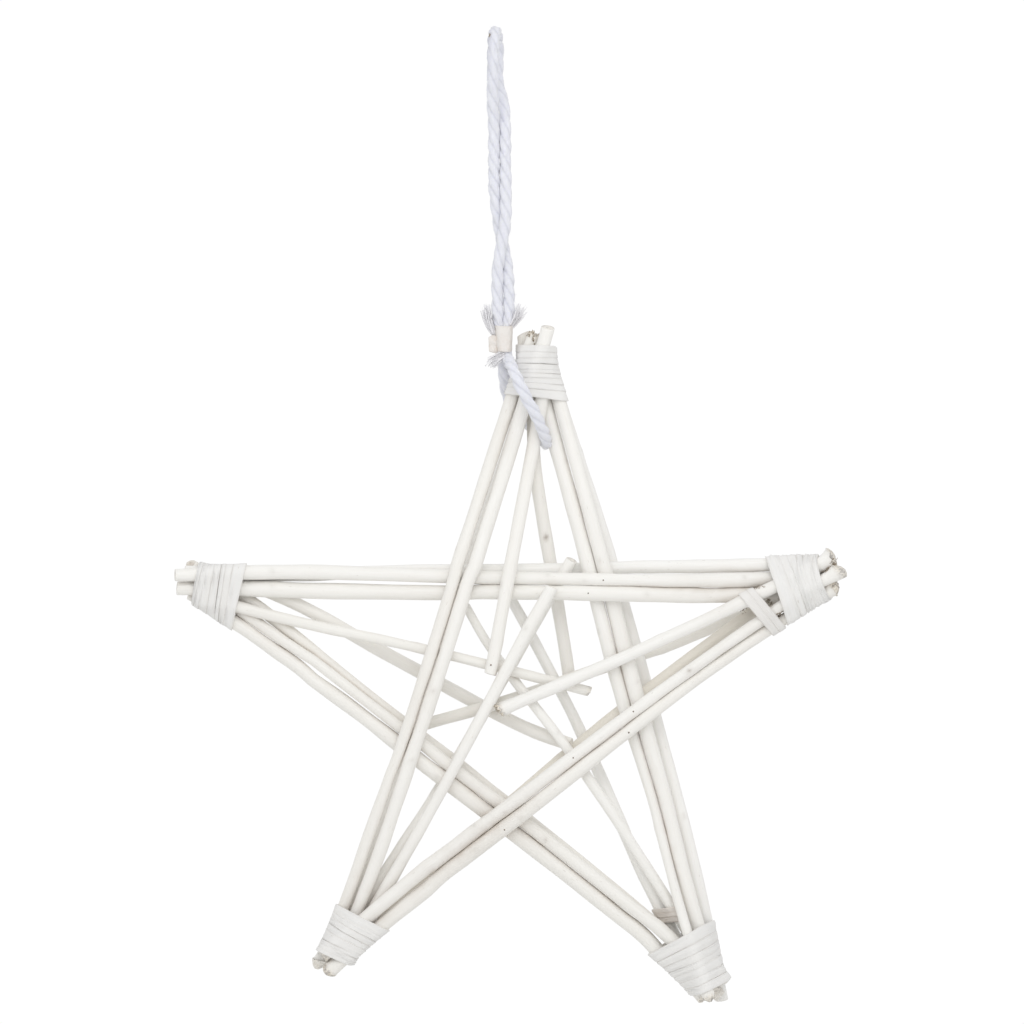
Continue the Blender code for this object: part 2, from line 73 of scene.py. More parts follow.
# Colours that aren't among the settings
COLOURS = {
    # The tinted colour gives the sticks' random tone and the painted shade on the sticks behind
    "speck": (0.30, 0.22, 0.15, 1), "tinted_and_shaded": (0.80, 0.76, 0.68, 1), "knot": (0.20, 0.14, 0.09, 1),
    "cut": (0.80, 0.75, 0.66, 1), "cut grain": (0.55, 0.45, 0.31, 1), "cut hole": (0.13, 0.085, 0.05, 1),
    # The brown is painted shade on the wraps that lie deep among the sticks
    "edge": (0.50, 0.45, 0.38, 1), "wrap_shade": (0.52, 0.38, 0.26, 1), "soil": (0.66, 0.56, 0.47, 1),
    "steel": (0.16, 0.15, 0.14, 1), "rust": (0.30, 0.18, 0.10, 1), "ground": (0.9, 0.9, 0.89, 1),
}
FRAY_COLOUR, FRAY_DEEP = (0.93, 0.925, 0.95), (0.82, 0.80, 0.81)
# The bark colours are also painted shade where shreds fill the holes beside the right lashing
BARK_AND_SHADE_COLOUR, BARK_AND_SHADE_DEEP = (0.34, 0.27, 0.19), (0.13, 0.10, 0.07)

# The photograph's frame: millimetres for each of its pixels, and the pixels of the star's
# origin and of the picture's middle
PIXEL = 0.52
PIXEL_X = 495.5
PIXEL_Y = 38.0
PHOTO_MIDDLE = (512, 512)

# The stage: the camera's sensor in mm and how far it sees in metres, how bright the plain
# white is, the way to the brightest of the sky, each light's place, size and colour, the place
# that they are turned to, and the ground's disc
SENSOR_WIDTH = 36.0
CLIP_END = 60.0
SEEN_WHITE = 1.02
SKY_WAY = (0.15, -0.9, 0.4)
LIGHTS = {
    "key": ((0.08, -0.8, 0.2), 0.7, (1.0, 0.995, 0.985)),
    "fill": ((-1.8, -1.4, 0.1), 1.6, (0.98, 0.99, 1.0)),
}
LIT_PLACE = (0.0, 0.0, -0.3)
GROUND_CORNERS = 96
GROUND_RADIUS = 0.72
GROUND_HEIGHT = -0.56

# A rope's strands: their radius and their distance from its middle, as shares of its radius,
# the lay of their yarns in mm, and every how many points the path that its length is measured on has one
STRAND_SHARES = (0.58, 0.42)
YARN_LAY = 5.5
PATH_EVERY = 6

# How a stick's solid was made: its corners to a ring, and how far they stand out of the
# round stick that it stands for
SOLID_SIDES = 8
SOLID_FULLER = 1.0539

# The ends of a stick in mm: how far the rings of a cut are from its end and what share of the
# radius they have, how much of the plain line they take the place of, how deep a cut's slope
# and tears reach, how far a torn end is tan, how far a spread end reaches, and between which
# slopes a plain cut lies
END_PLACES = (0.0, 0.0, 0.0, 0.12, 0.4)
END_CLOSING = (0.22, 0.62, 0.9, 0.975, 1.0)
END_ROOM = 1.0
CUT_DEPTH = 5
TORN_TAN = 2.2
FLARE_LENGTH = 7
PLAIN_SLOPES = (0.03, 0.16)

# Bud scars: one in so many mm and two at least, between which shares of the stick, how dark,
# the length in mm and the angle in radians of the dark spot and of the swelling, and the shift
# between the two in mm
KNOT_EVERY = 70
KNOT_SPAN = (0.08, 0.95)
KNOT_DARK = 0.22
KNOT_SPOT = (1.5, 0.32)
KNOT_SWELLING = (3.2, 0.6)
KNOT_SHIFT = 1.0

# The lengths in mm over which a stick's thickness and its ridges change, the ridges round it,
# and over how many points its straying is smoothed
SWELL_LENGTH = 20
RIDGE_LENGTH = 60
RIDGES = (2, 3, 5)
STRAY_SMOOTHED = 9

# Sticks that are drawn together: the room left between them and the widest gap that is
# closed in mm, and the pixels over which the drawing fades in
TOUCH_ROOM = 0.05
TOUCH_REACH = 2.5
TOUCH_FADE = 25

# Painted shade and stain between the sticks in mm: how they fall off, the same where they spread,
# and how far away a stick still counts
SHADE_AND_STAIN_FADE = 1.0
SPREAD_FADE = 4.0
SHADE_AND_STAIN_REACH = 8

# A lashing's sleeve: directions in which the sticks' reach is measured, the step between its
# stations and the room past the outer ones in mm, how far past a stick's end it still counts
# in mm, and over how many stations it is smoothed
SLEEVE_WAYS = 144
STATION_STEP = 0.5
STATION_ROOM = 8
SLEEVE_PAST = 0.5
SLEEVE_SMOOTHED = 7

# A strip: corners over its top and under it, and the share of a turn left out at its ends
STRIP_TOP = 17
STRIP_UNDER = 4
STRIP_START = 0.04

# The lashings: the direction in which a tip points, and the edges of its turns from the
# outermost to the mouth. Each edge runs between two pixels, one on each side: x, y, x, y.
LASHINGS = {
    "top": (89, (
        (518.5, 344.5, 552.5, 347), (518.5, 352, 555, 353.5), (518.5, 358, 557, 358.5),
        (518, 364, 558.5, 364.5), (517, 369.5, 560, 370), (515, 373, 561, 374), (513, 377, 562, 379),
        (510, 382, 564, 385.5), (507, 387, 566.5, 392), (504, 394, 567, 400.5))),
    "left": (166, (
        (197.5, 567, 192, 603), (203, 566, 194.5, 602), (208.5, 564, 200, 605), (215, 564, 208, 609),
        (221.5, 564, 216, 617), (226, 564, 219.5, 620), (234, 563.5, 224, 624), (247, 562, 232, 628))),
    "right": (18, (
        (819, 555, 835, 592), (814, 556, 830, 598), (809, 557, 825, 603.5), (803, 557.5, 818, 606),
        (796, 558, 809, 609), (788, 558, 806, 610), (779, 557, 800, 613), (766.5, 557.5, 787, 624.5))),
    "lower_left": (243, (
        (318.5, 951, 350, 964.5), (320, 947, 353, 960.5), (321.5, 943.5, 357, 956.5),
        (323.5, 939.5, 360, 953.5), (328, 929.5, 366, 950.5), (330, 923.5, 371, 946.5),
        (332.5, 917.5, 376, 942), (334, 912, 382, 936), (337, 904.5, 389, 929.5))),
    "lower_right": (300, (
        (693, 993, 724, 983), (687, 987, 723.5, 973), (681, 981, 722, 964), (675, 975, 721, 955),
        (669.5, 970, 720, 949), (663, 965.5, 717.5, 941), (658, 960.5, 714.5, 931),
        (653, 951, 710, 920))),
}

# How much a lashing is pleated, where that isn't one
PLEATED = {"right": 4.5, "top": 0.6, "lower_left": 1.3}

# How far each edge of a lashing's turns is drawn in at its front, in pixels
HOLLOWS = {"right": (9.0, 7.0, 5.0, 3.0, 2.0, 1.0, 0.0, 0.0)}

# The two short wraps that hold a few sticks beside a lashing: the sticks inside, the
# direction and the edges of the turns as above, and how much brown painted shade they get
WRAPS = {
    "right": (
        ("short_right_front", "arm_e_upper", "arm_e_lower", "arm_e_back", "short_right_back"), 40,
        ((757, 593, 786, 627), (748, 591, 778, 631), (738, 594, 770, 632)), 0.1),
    "lower_right": (
        ("short_lower_right_front", "short_lower_right_back"), 277,
        ((657, 924, 678, 921.5), (656, 919.5, 677, 916.5),
         (654, 914.5, 675, 911.5), (652, 910, 673, 906.5)), 0.5),
}

ARMS = {"a": ("top", "lower_left"), "b": ("top", "lower_right"), "c": ("left", "right"),
        "d": ("left", "lower_right"), "e": ("right", "lower_left")}

# The ends of sticks that are torn or cut at a slant: stick, which end, the cut's slope, the
# direction of the slope in degrees, how torn it is and how rounded
SPECIAL_CUTS = {
    ("arm_a_outer", 0): (0.5, 200, 0.8, 0.2),
    ("arm_a_back", 0): (0.4, 90, 0.15, 0.2),
    ("arm_b_inner", 0): (0.3, 60, 1.0, 0.2),
    ("arm_b_outer", 0): (0.7, 150, 0.25, 0.2),
    ("arm_a_inner", 0): (0.18, 20, 0.0, 0.2),
    ("short_right_front", 0): (0.12, 250, 0.7, 0.25),
    ("short_right_front", 1): (0.3, 250, 1.0, 0.2),
    ("arm_e_upper", 0): (0.35, 120, 0.6, 0.4),
    ("arm_e_lower", 0): (0.3, 300, 0.8, 0.5),
    ("arm_a_outer", 1): (0.2, 300, 0.35, 0.9),
    ("arm_e_upper", 1): (0.35, 80, 0.6, 0.2),
    ("arm_e_lower", 1): (0.4, 200, 0.7, 0.6),
    ("arm_b_outer", 1): (0.4, 90, 0.5, 0.6),
    ("arm_b_inner", 1): (0.4, 190, 0.6, 0.6),
    ("arm_d_lower", 1): (0.3, 250, 0.6, 0.6),
    ("arm_d_upper", 1): (0.3, 90, 0.5, 0.2),
    ("short_lower_right_back", 0): (0.35, 200, 0.6, 0.2),
    ("short_left_front", 1): (0.25, 90, 0.4, 0.2),
    ("short_left_back", 0): (0.1, 90, 0.0, 0.9),
}

# How far the peeled sticks stray from their plain solids: stick, end and mm by which it is
# longer; then stick, pixel, the shift there in pixels and the length in mm over which it fades
TRIMS = {
    ("arm_a_back", 0): 4, ("arm_b_inner", 0): 1, ("arm_b_outer", 0): -10, ("short_top_front", 0): -3.5,
    ("arm_b_back", 0): -2, ("short_left_front", 0): -8, ("arm_d_lower", 0): -7.5,
    ("short_left_back", 0): 5.5, ("arm_e_upper", 0): 5, ("arm_e_lower", 0): -0.3,
    ("arm_c_back", 1): -7, ("arm_c_upper", 1): -4.8, ("arm_c_lower", 1): -5, ("arm_d_lower", 1): -3.5,
    ("arm_b_outer", 1): -2.5, ("short_lower_right_front", 0): -4, ("short_right_front", 1): 2,
    ("arm_a_outer", 1): 5, ("arm_e_lower", 1): 2, ("short_lower_left_front", 0): -3,
    ("short_right_front", 0): 1.6, ("arm_b_back", 1): 5, ("arm_d_back", 1): 3,
}
BENDS = (
    ("arm_b_back", (570, 400), (-6, 0), 62), ("arm_b_outer", (560, 390), (-2.5, 0), 60),
    ("arm_b_outer", (625, 680), (-1.5, 0), 45), ("arm_b_inner", (575, 520), (-2, 0), 50),
    ("arm_b_inner", (618, 690), (-2.5, 0), 45), ("short_top_front", (551, 345), (-1.2, 0), 25),
    ("arm_c_lower", (177, 585), (0, 3.5), 22), ("short_left_back", (195, 558), (-1, 11.5), 28),
    ("short_left_back", (283, 600), (0, -4.5), 40), ("short_left_front", (268, 612), (0, 3), 34),
    ("arm_e_upper", (838, 567), (1, 3), 14), ("arm_d_back", (255, 609), (0, -5), 30),
    ("short_right_front", (832, 562), (1.5, -2.6), 22), ("arm_e_lower", (838, 579), (0, 3.5), 18),
    ("arm_c_lower", (837, 594), (0, -3), 18), ("arm_d_upper", (375, 668), (-0.6, 1.4), 50),
    ("short_right_back", (438, 722), (0, -3.5), 35), ("short_right_front", (765, 592), (0, -2.5), 25),
    ("arm_a_inner", (545, 336), (3.2, 0), 14), ("short_lower_left_front", (347, 960), (-3, 0), 18),
    ("arm_b_outer", (715, 961), (-3.5, 0.5), 9), ("arm_d_lower", (207, 610), (0.5, -4), 16),
    ("arm_b_outer", (553, 360), (-2.5, 0), 14), ("arm_e_back", (772, 598), (0, 1), 30),
    ("short_right_back", (735, 624), (0, -6.5), 28), ("arm_c_back", (295, 571), (0, 4.5), 34),
)

# Ends that are spread: stick, end and how much thicker it is there
FLARES = {
    ("short_right_front", 0): 1.95, ("arm_e_upper", 0): 1.5, ("arm_e_lower", 0): 1.55,
    ("arm_c_upper", 1): 1.2, ("arm_a_outer", 1): 1.5, ("arm_e_lower", 1): 1.08,
}

# How far each stick strays sideways, and how much thicker it is, in pixels at even steps
# from its first end to its last; sideways is to the left of the stick's way
STRAYS = {
    "arm_a_inner": ((0, -0.2, -0.7, -1.3, -0.2, 0.8, 0.4, -0.2, 0.3, -0.7, -0.1),
                    (0, 0.3, 0.4, 0.2, 0.4, 0.6, 0.6, 0.8, 0.6, 0.2, -0.1)),
    "arm_a_outer": ((0, -1.5, -2.1, -2.4, -2.9, -1, 0.5, -0.5, -2.7, -2.7, -0.1),
                    (0, 0, -0.1, -0.2, -0.1, 0, -0.4, -0.5, 0.1, 0.3, 0.1)),
    "arm_b_back": ((0, 0, 0, -0.6, -1.6, -1.4, 0, 1, 1.5, 1.2, 0.1),
                   (0, 0, 0, 0, -0.2, -0.3, 0, 0.1, 0.2, 0.2, 0.1)),
    "arm_b_inner": ((0, -1.5, -2, -1, -1.1, -1, 0.3, 1.8, -0.4, -1.4, -0.1),
                    (0, 0.1, 0.3, 0, -0.1, -0.3, -0.8, -1.7, -2.1, -1.4, -0.1)),
    "arm_b_outer": ((0, 1.7, 2.9, 1.5, 0.3, -0.2, -0.6, 0, 0.1, 0.1, 0),
                    (-0.2, -0.5, -0.5, 0.1, 0.7, 0.7, 0.3, -0.1, 0, 0, 0)),
    "arm_c_back": ((0, 1.3, 1.4, -0.2, -1, -1.7, -1.7, -1.1, 0.8, 0.9, 0.1),
                   (0.1, 0.2, 0.2, 0, -0.1, -0.1, -0.1, -0.1, 0.2, 0.2, 0)),
    "arm_c_lower": ((0, -1.6, -2, -1.1, -0.9, 0.3, 1.7, 1.9, -2.4, -2.5, -0.1),
                    (0.1, 1, 1.2, 0.7, 0.2, 0.1, 0.1, 0.3, 0.1, 0.1, 0)),
    "arm_c_upper": ((0.1, 2, 1.8, 0.3, -0.1, 0.4, 0.5, -0.8, -2.7, -1.9, 0),
                    (-0.1, 0.8, 0.9, 0.4, 0.4, 0, -0.5, -0.6, 0.2, 0.5, 0.2)),
    "arm_d_back": ((0.1, 0.8, 0, -3.3, -3.7, -1.9, -0.5, 0.2, 0.3, 0.2, 0),
                   (0.1, 0.2, 0.1, -0.3, -0.5, -0.2, -0.1, 0, 0, 0, 0)),
    "arm_d_lower": ((0, 1.2, 1.1, -0.1, -2, -3.4, -3.5, -3.4, -3.6, -2.4, 0),
                    (0.2, 0.5, 0.8, 0.9, 1.2, 1.2, 1.2, 1, 0.9, 0.5, 0)),
    "arm_d_upper": ((7.8, 8, 6.5, 3, -0.5, -1.7, -0.5, -0.4, -1.8, -1.7, -0.1),
                    (0, -0.6, -1.1, -1.6, -1.1, -0.6, -0.4, -0.7, -0.8, -0.5, -0.1)),
    "arm_e_back": ((0, 0.7, 1.4, 1.3, 0.8, 0.8, 1, 0.7, 0.5, 0.3, 0),
                   (0, -0.2, -0.4, -0.3, -0.1, -0.1, -0.1, 0, 0, 0, 0)),
    "arm_e_lower": ((0, -0.7, -0.9, -1.1, -0.8, 0.1, 0.5, 0.1, -0.5, -0.5, 0),
                    (0, -0.2, -0.5, -0.5, -0.2, 0.3, 0.6, 0.9, 0.6, 0.4, 0)),
    "arm_e_upper": ((-0.1, -2, -1.7, -0.3, 0.6, 0, -0.5, -2.4, -1.7, -1.4, 0),
                    (0, -0.5, -0.7, -0.8, -0.5, -0.2, 0.2, 0.3, -0.1, -0.3, -0.2)),
    "short_left_back": ((0.1, 0.7, 0.6, -0.8, -0.9, -0.6, -1.5),
                        (0.1, 0.2, 0.3, 0.2, 0.1, 0.4, 0.6)),
    "short_left_front": ((-0.2, -3.8, -3.8, -1.6, -1.6, -2.5, -2),
                         (0.1, 0.1, -0.3, -0.6, -0.6, -0.6, -0.8)),
    "short_lower_left_back": ((0, -0.6, -1.2, -1.5, -1.1, -0.3, 0.4),
                              (0, -0.1, -0.2, -0.2, -0.2, -0.3, -0.3)),
    "short_lower_left_front": ((0, 0, -0.4, 0, 0, -0.4, -1.2),
                               (0.1, -0.5, -1.4, -1.8, -1.2, -0.8, -0.7)),
    "short_lower_right_back": ((0.1, 1.7, 1.5, -0.4, -1.3, 1.6, 4.3),
                               (0.1, 0.3, 0.2, 0, -0.3, -0.4, -0.5)),
    "short_lower_right_front": ((-0.1, -0.6, 0, -0.8, -3.2, -3.5, -2.3),
                                (-0.1, -0.4, -0.4, -0.2, 0, -0.1, -0.2)),
    "short_right_back": ((0, 0.8, 1.6, 1.7, 1, 0.3, -0.4),
                         (0, 0.1, 0.1, 0.3, 0.2, 0.2, 0.2)),
    "short_right_front": ((0.1, 0, -0.8, -0.5, 0.6, 0.6, 0.1),
                          (0, -0.1, -0.4, -0.8, -0.8, -0.7, -0.1)),
    "short_top_back": ((0, 0.5, 1.3, 2.4, 1.6, 0.6, 0.4),
                       (0, 0.1, 0.2, 0.5, 0.8, 0.7, 0.7)),
    "short_top_front": ((0, 0.9, 1.3, 0.5, -0.4, -0.3, 1.8),
                        (0, 0.3, 0.4, 0.4, 0.4, 0.3, 0.2)),
}
STOUT = {"arm_b_inner": 1.2, "arm_a_inner": 0.97}

# Sticks that lie against each other: the two, the coordinate of the photograph that runs
# along them, and the pixels between which they touch
TOUCHING = (
    ("arm_c_upper", "arm_c_lower", 0, 480, 800),
    ("arm_c_back", "arm_c_upper", 0, 640, 800),
    ("arm_d_upper", "arm_d_lower", 0, 232, 300),
    ("arm_c_upper", "arm_c_lower", 0, 165, 232),
    ("arm_b_inner", "arm_b_outer", 2, 405, 900),
    ("arm_e_upper", "arm_e_lower", 0, 440, 760),
    ("arm_d_upper", "arm_d_lower", 0, 440, 645),
    ("arm_a_outer", "arm_a_inner", 2, 580, 760),
)

# Where the painted shade and stain between the sticks spread: pixel, how far round it in mm and how
# much, below zero where the sticks are kept clean of them
SPREADS = (
    ((240, 595), 30, -0.1), ((777, 591), 30, -0.1), ((363, 917), 24, 0.9), ((682, 935), 30, 0.08),
    ((439, 865), 30, 0.9), ((462, 848), 30, 1), ((487, 831), 30, 1), ((720, 624), 30, 0.9),
    ((524, 436), 14, 1.2), ((265, 632), 20, 0.4), ((762, 587), 9, 0.9), ((772, 601), 9, 0.9),
    ((779, 615), 7, 1.5), ((436, 600), 26, 0.3), ((407, 690), 30, 0.4), ((290, 581), 26, -0.9),
    ((738, 641), 12, -0.9), ((708, 663), 12, -0.9), ((678, 685), 12, -0.9), ((648, 709), 12, -0.9),
    ((578, 584), 30, -1), ((530, 584), 30, -0.9), ((486, 584), 30, -0.5), ((545, 405), 30, -0.8),
)

# Sticks whose wood is painted tan as shade, and how much so: the sticks that lie behind the others, and the
# upper and lower sticks of the arm between the left and right tips
SHADED_TANNER = {
    "arm_e_back": 2.8, "short_right_back": 0.6, "arm_d_back": 0.8, "short_left_back": 0.4,
    "arm_c_upper": 0.45, "arm_c_lower": 0.45,
}

# Dark knots: stick and the pixel of the photograph where each lies
DARK_KNOTS = (
    ("short_top_back", (550, 536), 1.3),
    ("arm_e_upper", (693, 676), 0.6),
    ("arm_a_inner", (423, 686), 0.3),
    ("arm_d_upper", (546, 838), 0.4),
)

# A pin head's corners, and its profile from the front: share of the radius, and depth in mm
PIN_SIDES = 14
PIN_PROFILE = ((0.25, -0.34), (0.7, -0.26), (0.95, -0.1), (1.0, 0.1), (0.98, 0.7))

# Pin heads: stick, pixel and radius in mm
PINS = (
    ("arm_c_upper", (603, 580), 0.42),
    ("arm_c_lower", (588, 593), 0.40),
    ("short_top_front", (491, 664.5), 0.45),
    ("arm_e_upper", (633, 711), 0.42),
    ("arm_e_lower", (628.5, 732), 0.45),
    ("arm_e_upper", (573, 757), 0.40),
    ("arm_e_lower", (504.5, 829), 0.40),
)

# How far the shreds' angles spread in degrees, and a depth in metres that no stick has
SHREDS_SPREAD = 22
NOTHING_BEHIND = 1.0

# Dark shreds of bark, and in the holes beside the right lashing dark shreds that are painted shade:
# pixel, half lengths of the patch along and across in pixels, its angle to the photograph's rows,
# the shreds' angle, how many, and their depth where no stick is
BARK_AND_SHADE_SHREDS = (
    ((533.6, 338.2), 2.6, 1.4, 70, 75, 16, 0), ((534.2, 345), 1.6, 0.6, 80, 80, 7, 0),
    ((531.5, 332.6), 3, 1.2, 10, 70, 12, 0), ((528, 335.5), 2.5, 1.6, 20, 80, 8, 0),
    ((828.3, 567.9), 8, 1.3, 36, 36, 40, -8), ((833, 560.5), 4, 2, 60, 40, 12, -8),
    # The six patches on these three rows lie in the holes beside the right lashing: painted shade
    ((769.6, 601.9), 4.2, 2.4, -50, 30, 46, -2), ((778, 615.1), 2.2, 1.4, -50, 30, 12, -2),
    ((780.5, 613), 3, 1.4, 30, 30, 22, 2), ((744.5, 609.6), 5, 0.8, 25, 25, 14, 0),
    ((759.1, 587), 5.5, 1.2, 12, 12, 16, -2), ((745.5, 612.5), 5, 0.7, 38, 38, 12, -2),
    ((325.7, 964.6), 2.6, 0.8, 80, 80, 10, -2), ((489.8, 36), 2, 0.6, 85, 60, 8, -10.5),
)

# The hanging loop: the middle between its runs (height, x), the turn of the pair seen from
# above and the runs' distance; places where painted shade greys it, with their height, width
# and how grey; then the lower loop's points. All in mm and degrees.
LOOP_BEND_R = 12.5
HANGER_PAIR = (
    (-22, -0.1, 83, 21), (-35, 1.4, 62, 12), (-48, 2.1, 14, 0), (-64, 2.2, 0, 0),
    (-78, 2.4, -8, 0), (-95, 3.3, -50, 0), (-107, 3.5, -95, 0), (-118, 3.7, -140, 0),
    (-130, 3.9, -172, 0), (-142, 4.1, -180, 0),
)
PAINTED_SHADE_PLACES = (((-4.2, 0.0, -8.0), 15.0, 2.8, 1.0), ((-3.9, -2.0, -1.0), 1.6, 1.6, 1.8))
RUNS_APART = 5.9
RUNS_AT_TAPE = 4.3
TOP_TURN = 1.3
HANGER_END = -150.6
LOWER_LOOP = (
    (5.9, -2.6, -162.6), (6.2, -3.6, -166.0), (7.4, -9.8, -168.8), (8.8, -16.2, -172.2),
    (10.8, -20.2, -176.6), (13.8, -21.4, -183.0), (17.2, -20.4, -189.6), (20.8, -17.8, -196.0),
    (23.6, -14.0, -202.0), (25.6, -9.0, -207.0), (26.4, -2.5, -210.2), (26.2, 4.0, -210.8),
    (24.8, 10.2, -209.0), (21.2, 15.0, -205.0), (16.6, 17.6, -200.0), (11.6, 17.8, -194.5),
    (7.6, 15.0, -189.0), (5.4, 11.4, -182.0), (4.6, 7.6, -175.0), (3.8, 4.2, -168.6),
    (3.3, 3.4, -166.0), (3.4, 3.0, -162.6),
)

# Frayed rope ends in mm: foot, the point that they bend towards, tip, thickness at the foot
# and at the tip, and number of yarns and of fibres
FRAYS = {
    "frayed_end_left": ((-0.4, -1.2, -154.2), (-4.0, -0.6, -149.4), (-4.9, 0.8, -139.6), 2.6, 6.0, 34, 260),
    "frayed_end_right": ((7.8, -0.6, -150.2), (9.8, -0.8, -146.8), (13.4, -1.2, -140.2), 3.4, 8.4, 30, 220),
    "frayed_end_lower": ((4.2, -4.4, -165.0), (1.6, -6.0, -166.2), (-1.8, -5.0, -169.4), 4.8, 6.4, 60, 260),
}

# The tape band: top and bottom width, middle and height, and its depth, in mm; its rings,
# corners and wraps; and the rings of its tail and the corners across one face of that
BAND_TOP = (9.3, 4.3, -149.8)
BAND_BOTTOM = (7.6, 4.7, -163.2)
BAND_DEPTH = 12.0
BAND_RINGS = 44
BAND_SIDES = 72
BAND_WRAPS = 3.0
TAIL_RINGS = 26
TAIL_CORNERS = 12

# Fibres that stand out of the rope for each millimetre of it
FUZZ_PER_MM = 11


class StickSettings(PropertyGroup):
    """Sizes and colours of the peeled sticks."""

    sides: IntProperty(name="Sides", description="Corners round a stick", default=22, min=8)
    spacing: FloatProperty(name="Spacing", description="Distance between rings along a stick",
                           default=1.7 * MM, unit="LENGTH")
    swell: FloatProperty(name="Swell", description="Slow change of thickness, as a share of it",
                         default=0.025, subtype="FACTOR")
    ridge: FloatProperty(name="Ridges", description="Height of the ridges, as a share of the radius",
                         default=0.012, subtype="FACTOR")
    fuller: FloatProperty(name="Fuller", description="Thickness of a stick over its plain solid's",
                          default=1.05)
    knot: FloatProperty(name="Knots", description="Height of a bud scar", default=0.32 * MM, unit="LENGTH")
    pale: FloatVectorProperty(name="Pale wood", description="Colour of the clean peeled wood",
                              default=(0.935, 0.93, 0.912), subtype="COLOR")
    deep: FloatVectorProperty(name="Tan wood", description="Colour of the darker fibres",
                              default=(0.85, 0.825, 0.775), subtype="COLOR")
    # This colour is painted shade and stain where the sticks touch and in the crevices between them
    stain_and_shade: FloatVectorProperty(name="Stain and shade", description="Colour of the stain where sticks touch",
                               default=(0.34, 0.235, 0.15), subtype="COLOR")


class LashingSettings(PropertyGroup):
    """Sizes and colours of the split-willow lashings."""

    thickness: FloatProperty(name="Thickness", description="Thickness of a strip in its middle",
                             default=1.25 * MM, unit="LENGTH")
    clearance: FloatProperty(name="Clearance", description="Room under a strip",
                             default=0.12 * MM, unit="LENGTH")
    steps: IntProperty(name="Steps", description="Rings in each turn", default=72, min=24)
    pleats: FloatProperty(name="Pleats", description="Height of the pleats, as a share of the thickness",
                          default=0.10, subtype="FACTOR")
    pale: FloatVectorProperty(name="Pale strip", description="Colour of the clean strip",
                              default=(0.85, 0.845, 0.835), subtype="COLOR")
    deep: FloatVectorProperty(name="Tan strip", description="Colour of the strip's darker fibres",
                              default=(0.83, 0.81, 0.775), subtype="COLOR")


class RopeSettings(PropertyGroup):
    """Sizes and colours of the twisted cotton rope and its tape."""

    diameter: FloatProperty(name="Diameter", description="Diameter of the circle that the strands touch",
                            default=6.4 * MM, unit="LENGTH")
    lay: FloatProperty(name="Lay", description="Length in which a strand goes once round the rope",
                       default=26 * MM, unit="LENGTH")
    filled: FloatProperty(name="Filled", description="How far fuzz fills the grooves", default=0.3,
                          subtype="FACTOR")
    yarns: IntProperty(name="Yarns", description="Yarns that show round each strand", default=13, min=3)
    sides: IntProperty(name="Sides", description="Corners round the rope", default=48, min=24)
    spacing: FloatProperty(name="Spacing", description="Distance between rings along the rope",
                           default=0.55 * MM, unit="LENGTH")
    cotton: FloatVectorProperty(name="Cotton", description="Colour of the bleached cotton",
                                default=(0.815, 0.825, 0.885), subtype="COLOR")
    # The groove colour is painted shade between the strands
    groove: FloatVectorProperty(name="Groove", description="Colour between the strands",
                                default=(0.60, 0.61, 0.68), subtype="COLOR")
    tape: FloatVectorProperty(name="Tape", description="Colour of the tape",
                              default=(0.825, 0.795, 0.765), subtype="COLOR")


class StageSettings(PropertyGroup):
    """The camera, the light and the ground."""

    lens: FloatProperty(name="Lens", description="Focal length in mm", default=300.0)
    view: FloatProperty(name="View", description="Width of the view at the star",
                        default=532.5 * MM, unit="LENGTH")
    sky: FloatProperty(name="Sky", description="Strength of the light from the front", default=0.815)
    back: FloatProperty(name="Back", description="Strength of the light from behind and below", default=0.745)
    key: FloatProperty(name="Key", description="Power of the soft light from the upper right",
                       default=2.2, subtype="POWER")
    fill: FloatProperty(name="Fill", description="Power of the soft light from the left",
                        default=1.5, subtype="POWER")


# Working out lines and surfaces


def settings(group):
    """The values of one property group of the scene."""
    return getattr(bpy.context.scene, group)


def at_pixel(x, y):
    """The place in the star's plane that a pixel of the photograph shows."""
    return np.array([(x - PIXEL_X) * PIXEL, 0.0, (PIXEL_Y - y) * PIXEL]) * MM


def unit(degrees):
    """The direction at that angle in the star's plane, as a point in space."""
    return np.array([math.cos(math.radians(degrees)), 0.0, math.sin(math.radians(degrees))])


def smooth_line(points, spacing):
    """A curve through the points at even spacing.

    Between two points it is the cubic whose slopes there are half the way from the point
    before to the point after; the curve is then cut into equal lengths.
    """
    p = np.asarray(points, float)
    slope = np.gradient(p, axis=0)
    u = np.linspace(0, 1, SPAN_STEPS, endpoint=False)[None, :, None]
    a, b, m, n = p[:-1, None], p[1:, None], slope[:-1, None], slope[1:, None]
    curve = ((2 * u**3 - 3 * u**2 + 1) * a + (u**3 - 2 * u**2 + u) * m
             + (3 * u**2 - 2 * u**3) * b + (u**3 - u**2) * n)
    curve = np.vstack([curve.reshape(-1, p.shape[1]), p[-1:]])
    return even_line(curve, spacing)


def even_line(curve, spacing):
    """The same line with its points at equal distances, about spacing apart."""
    along = distance_along(curve[:, :3])
    count = max(4, round(along[-1] / spacing) + 1)
    return columns_at(np.linspace(0, along[-1], count), along, curve)


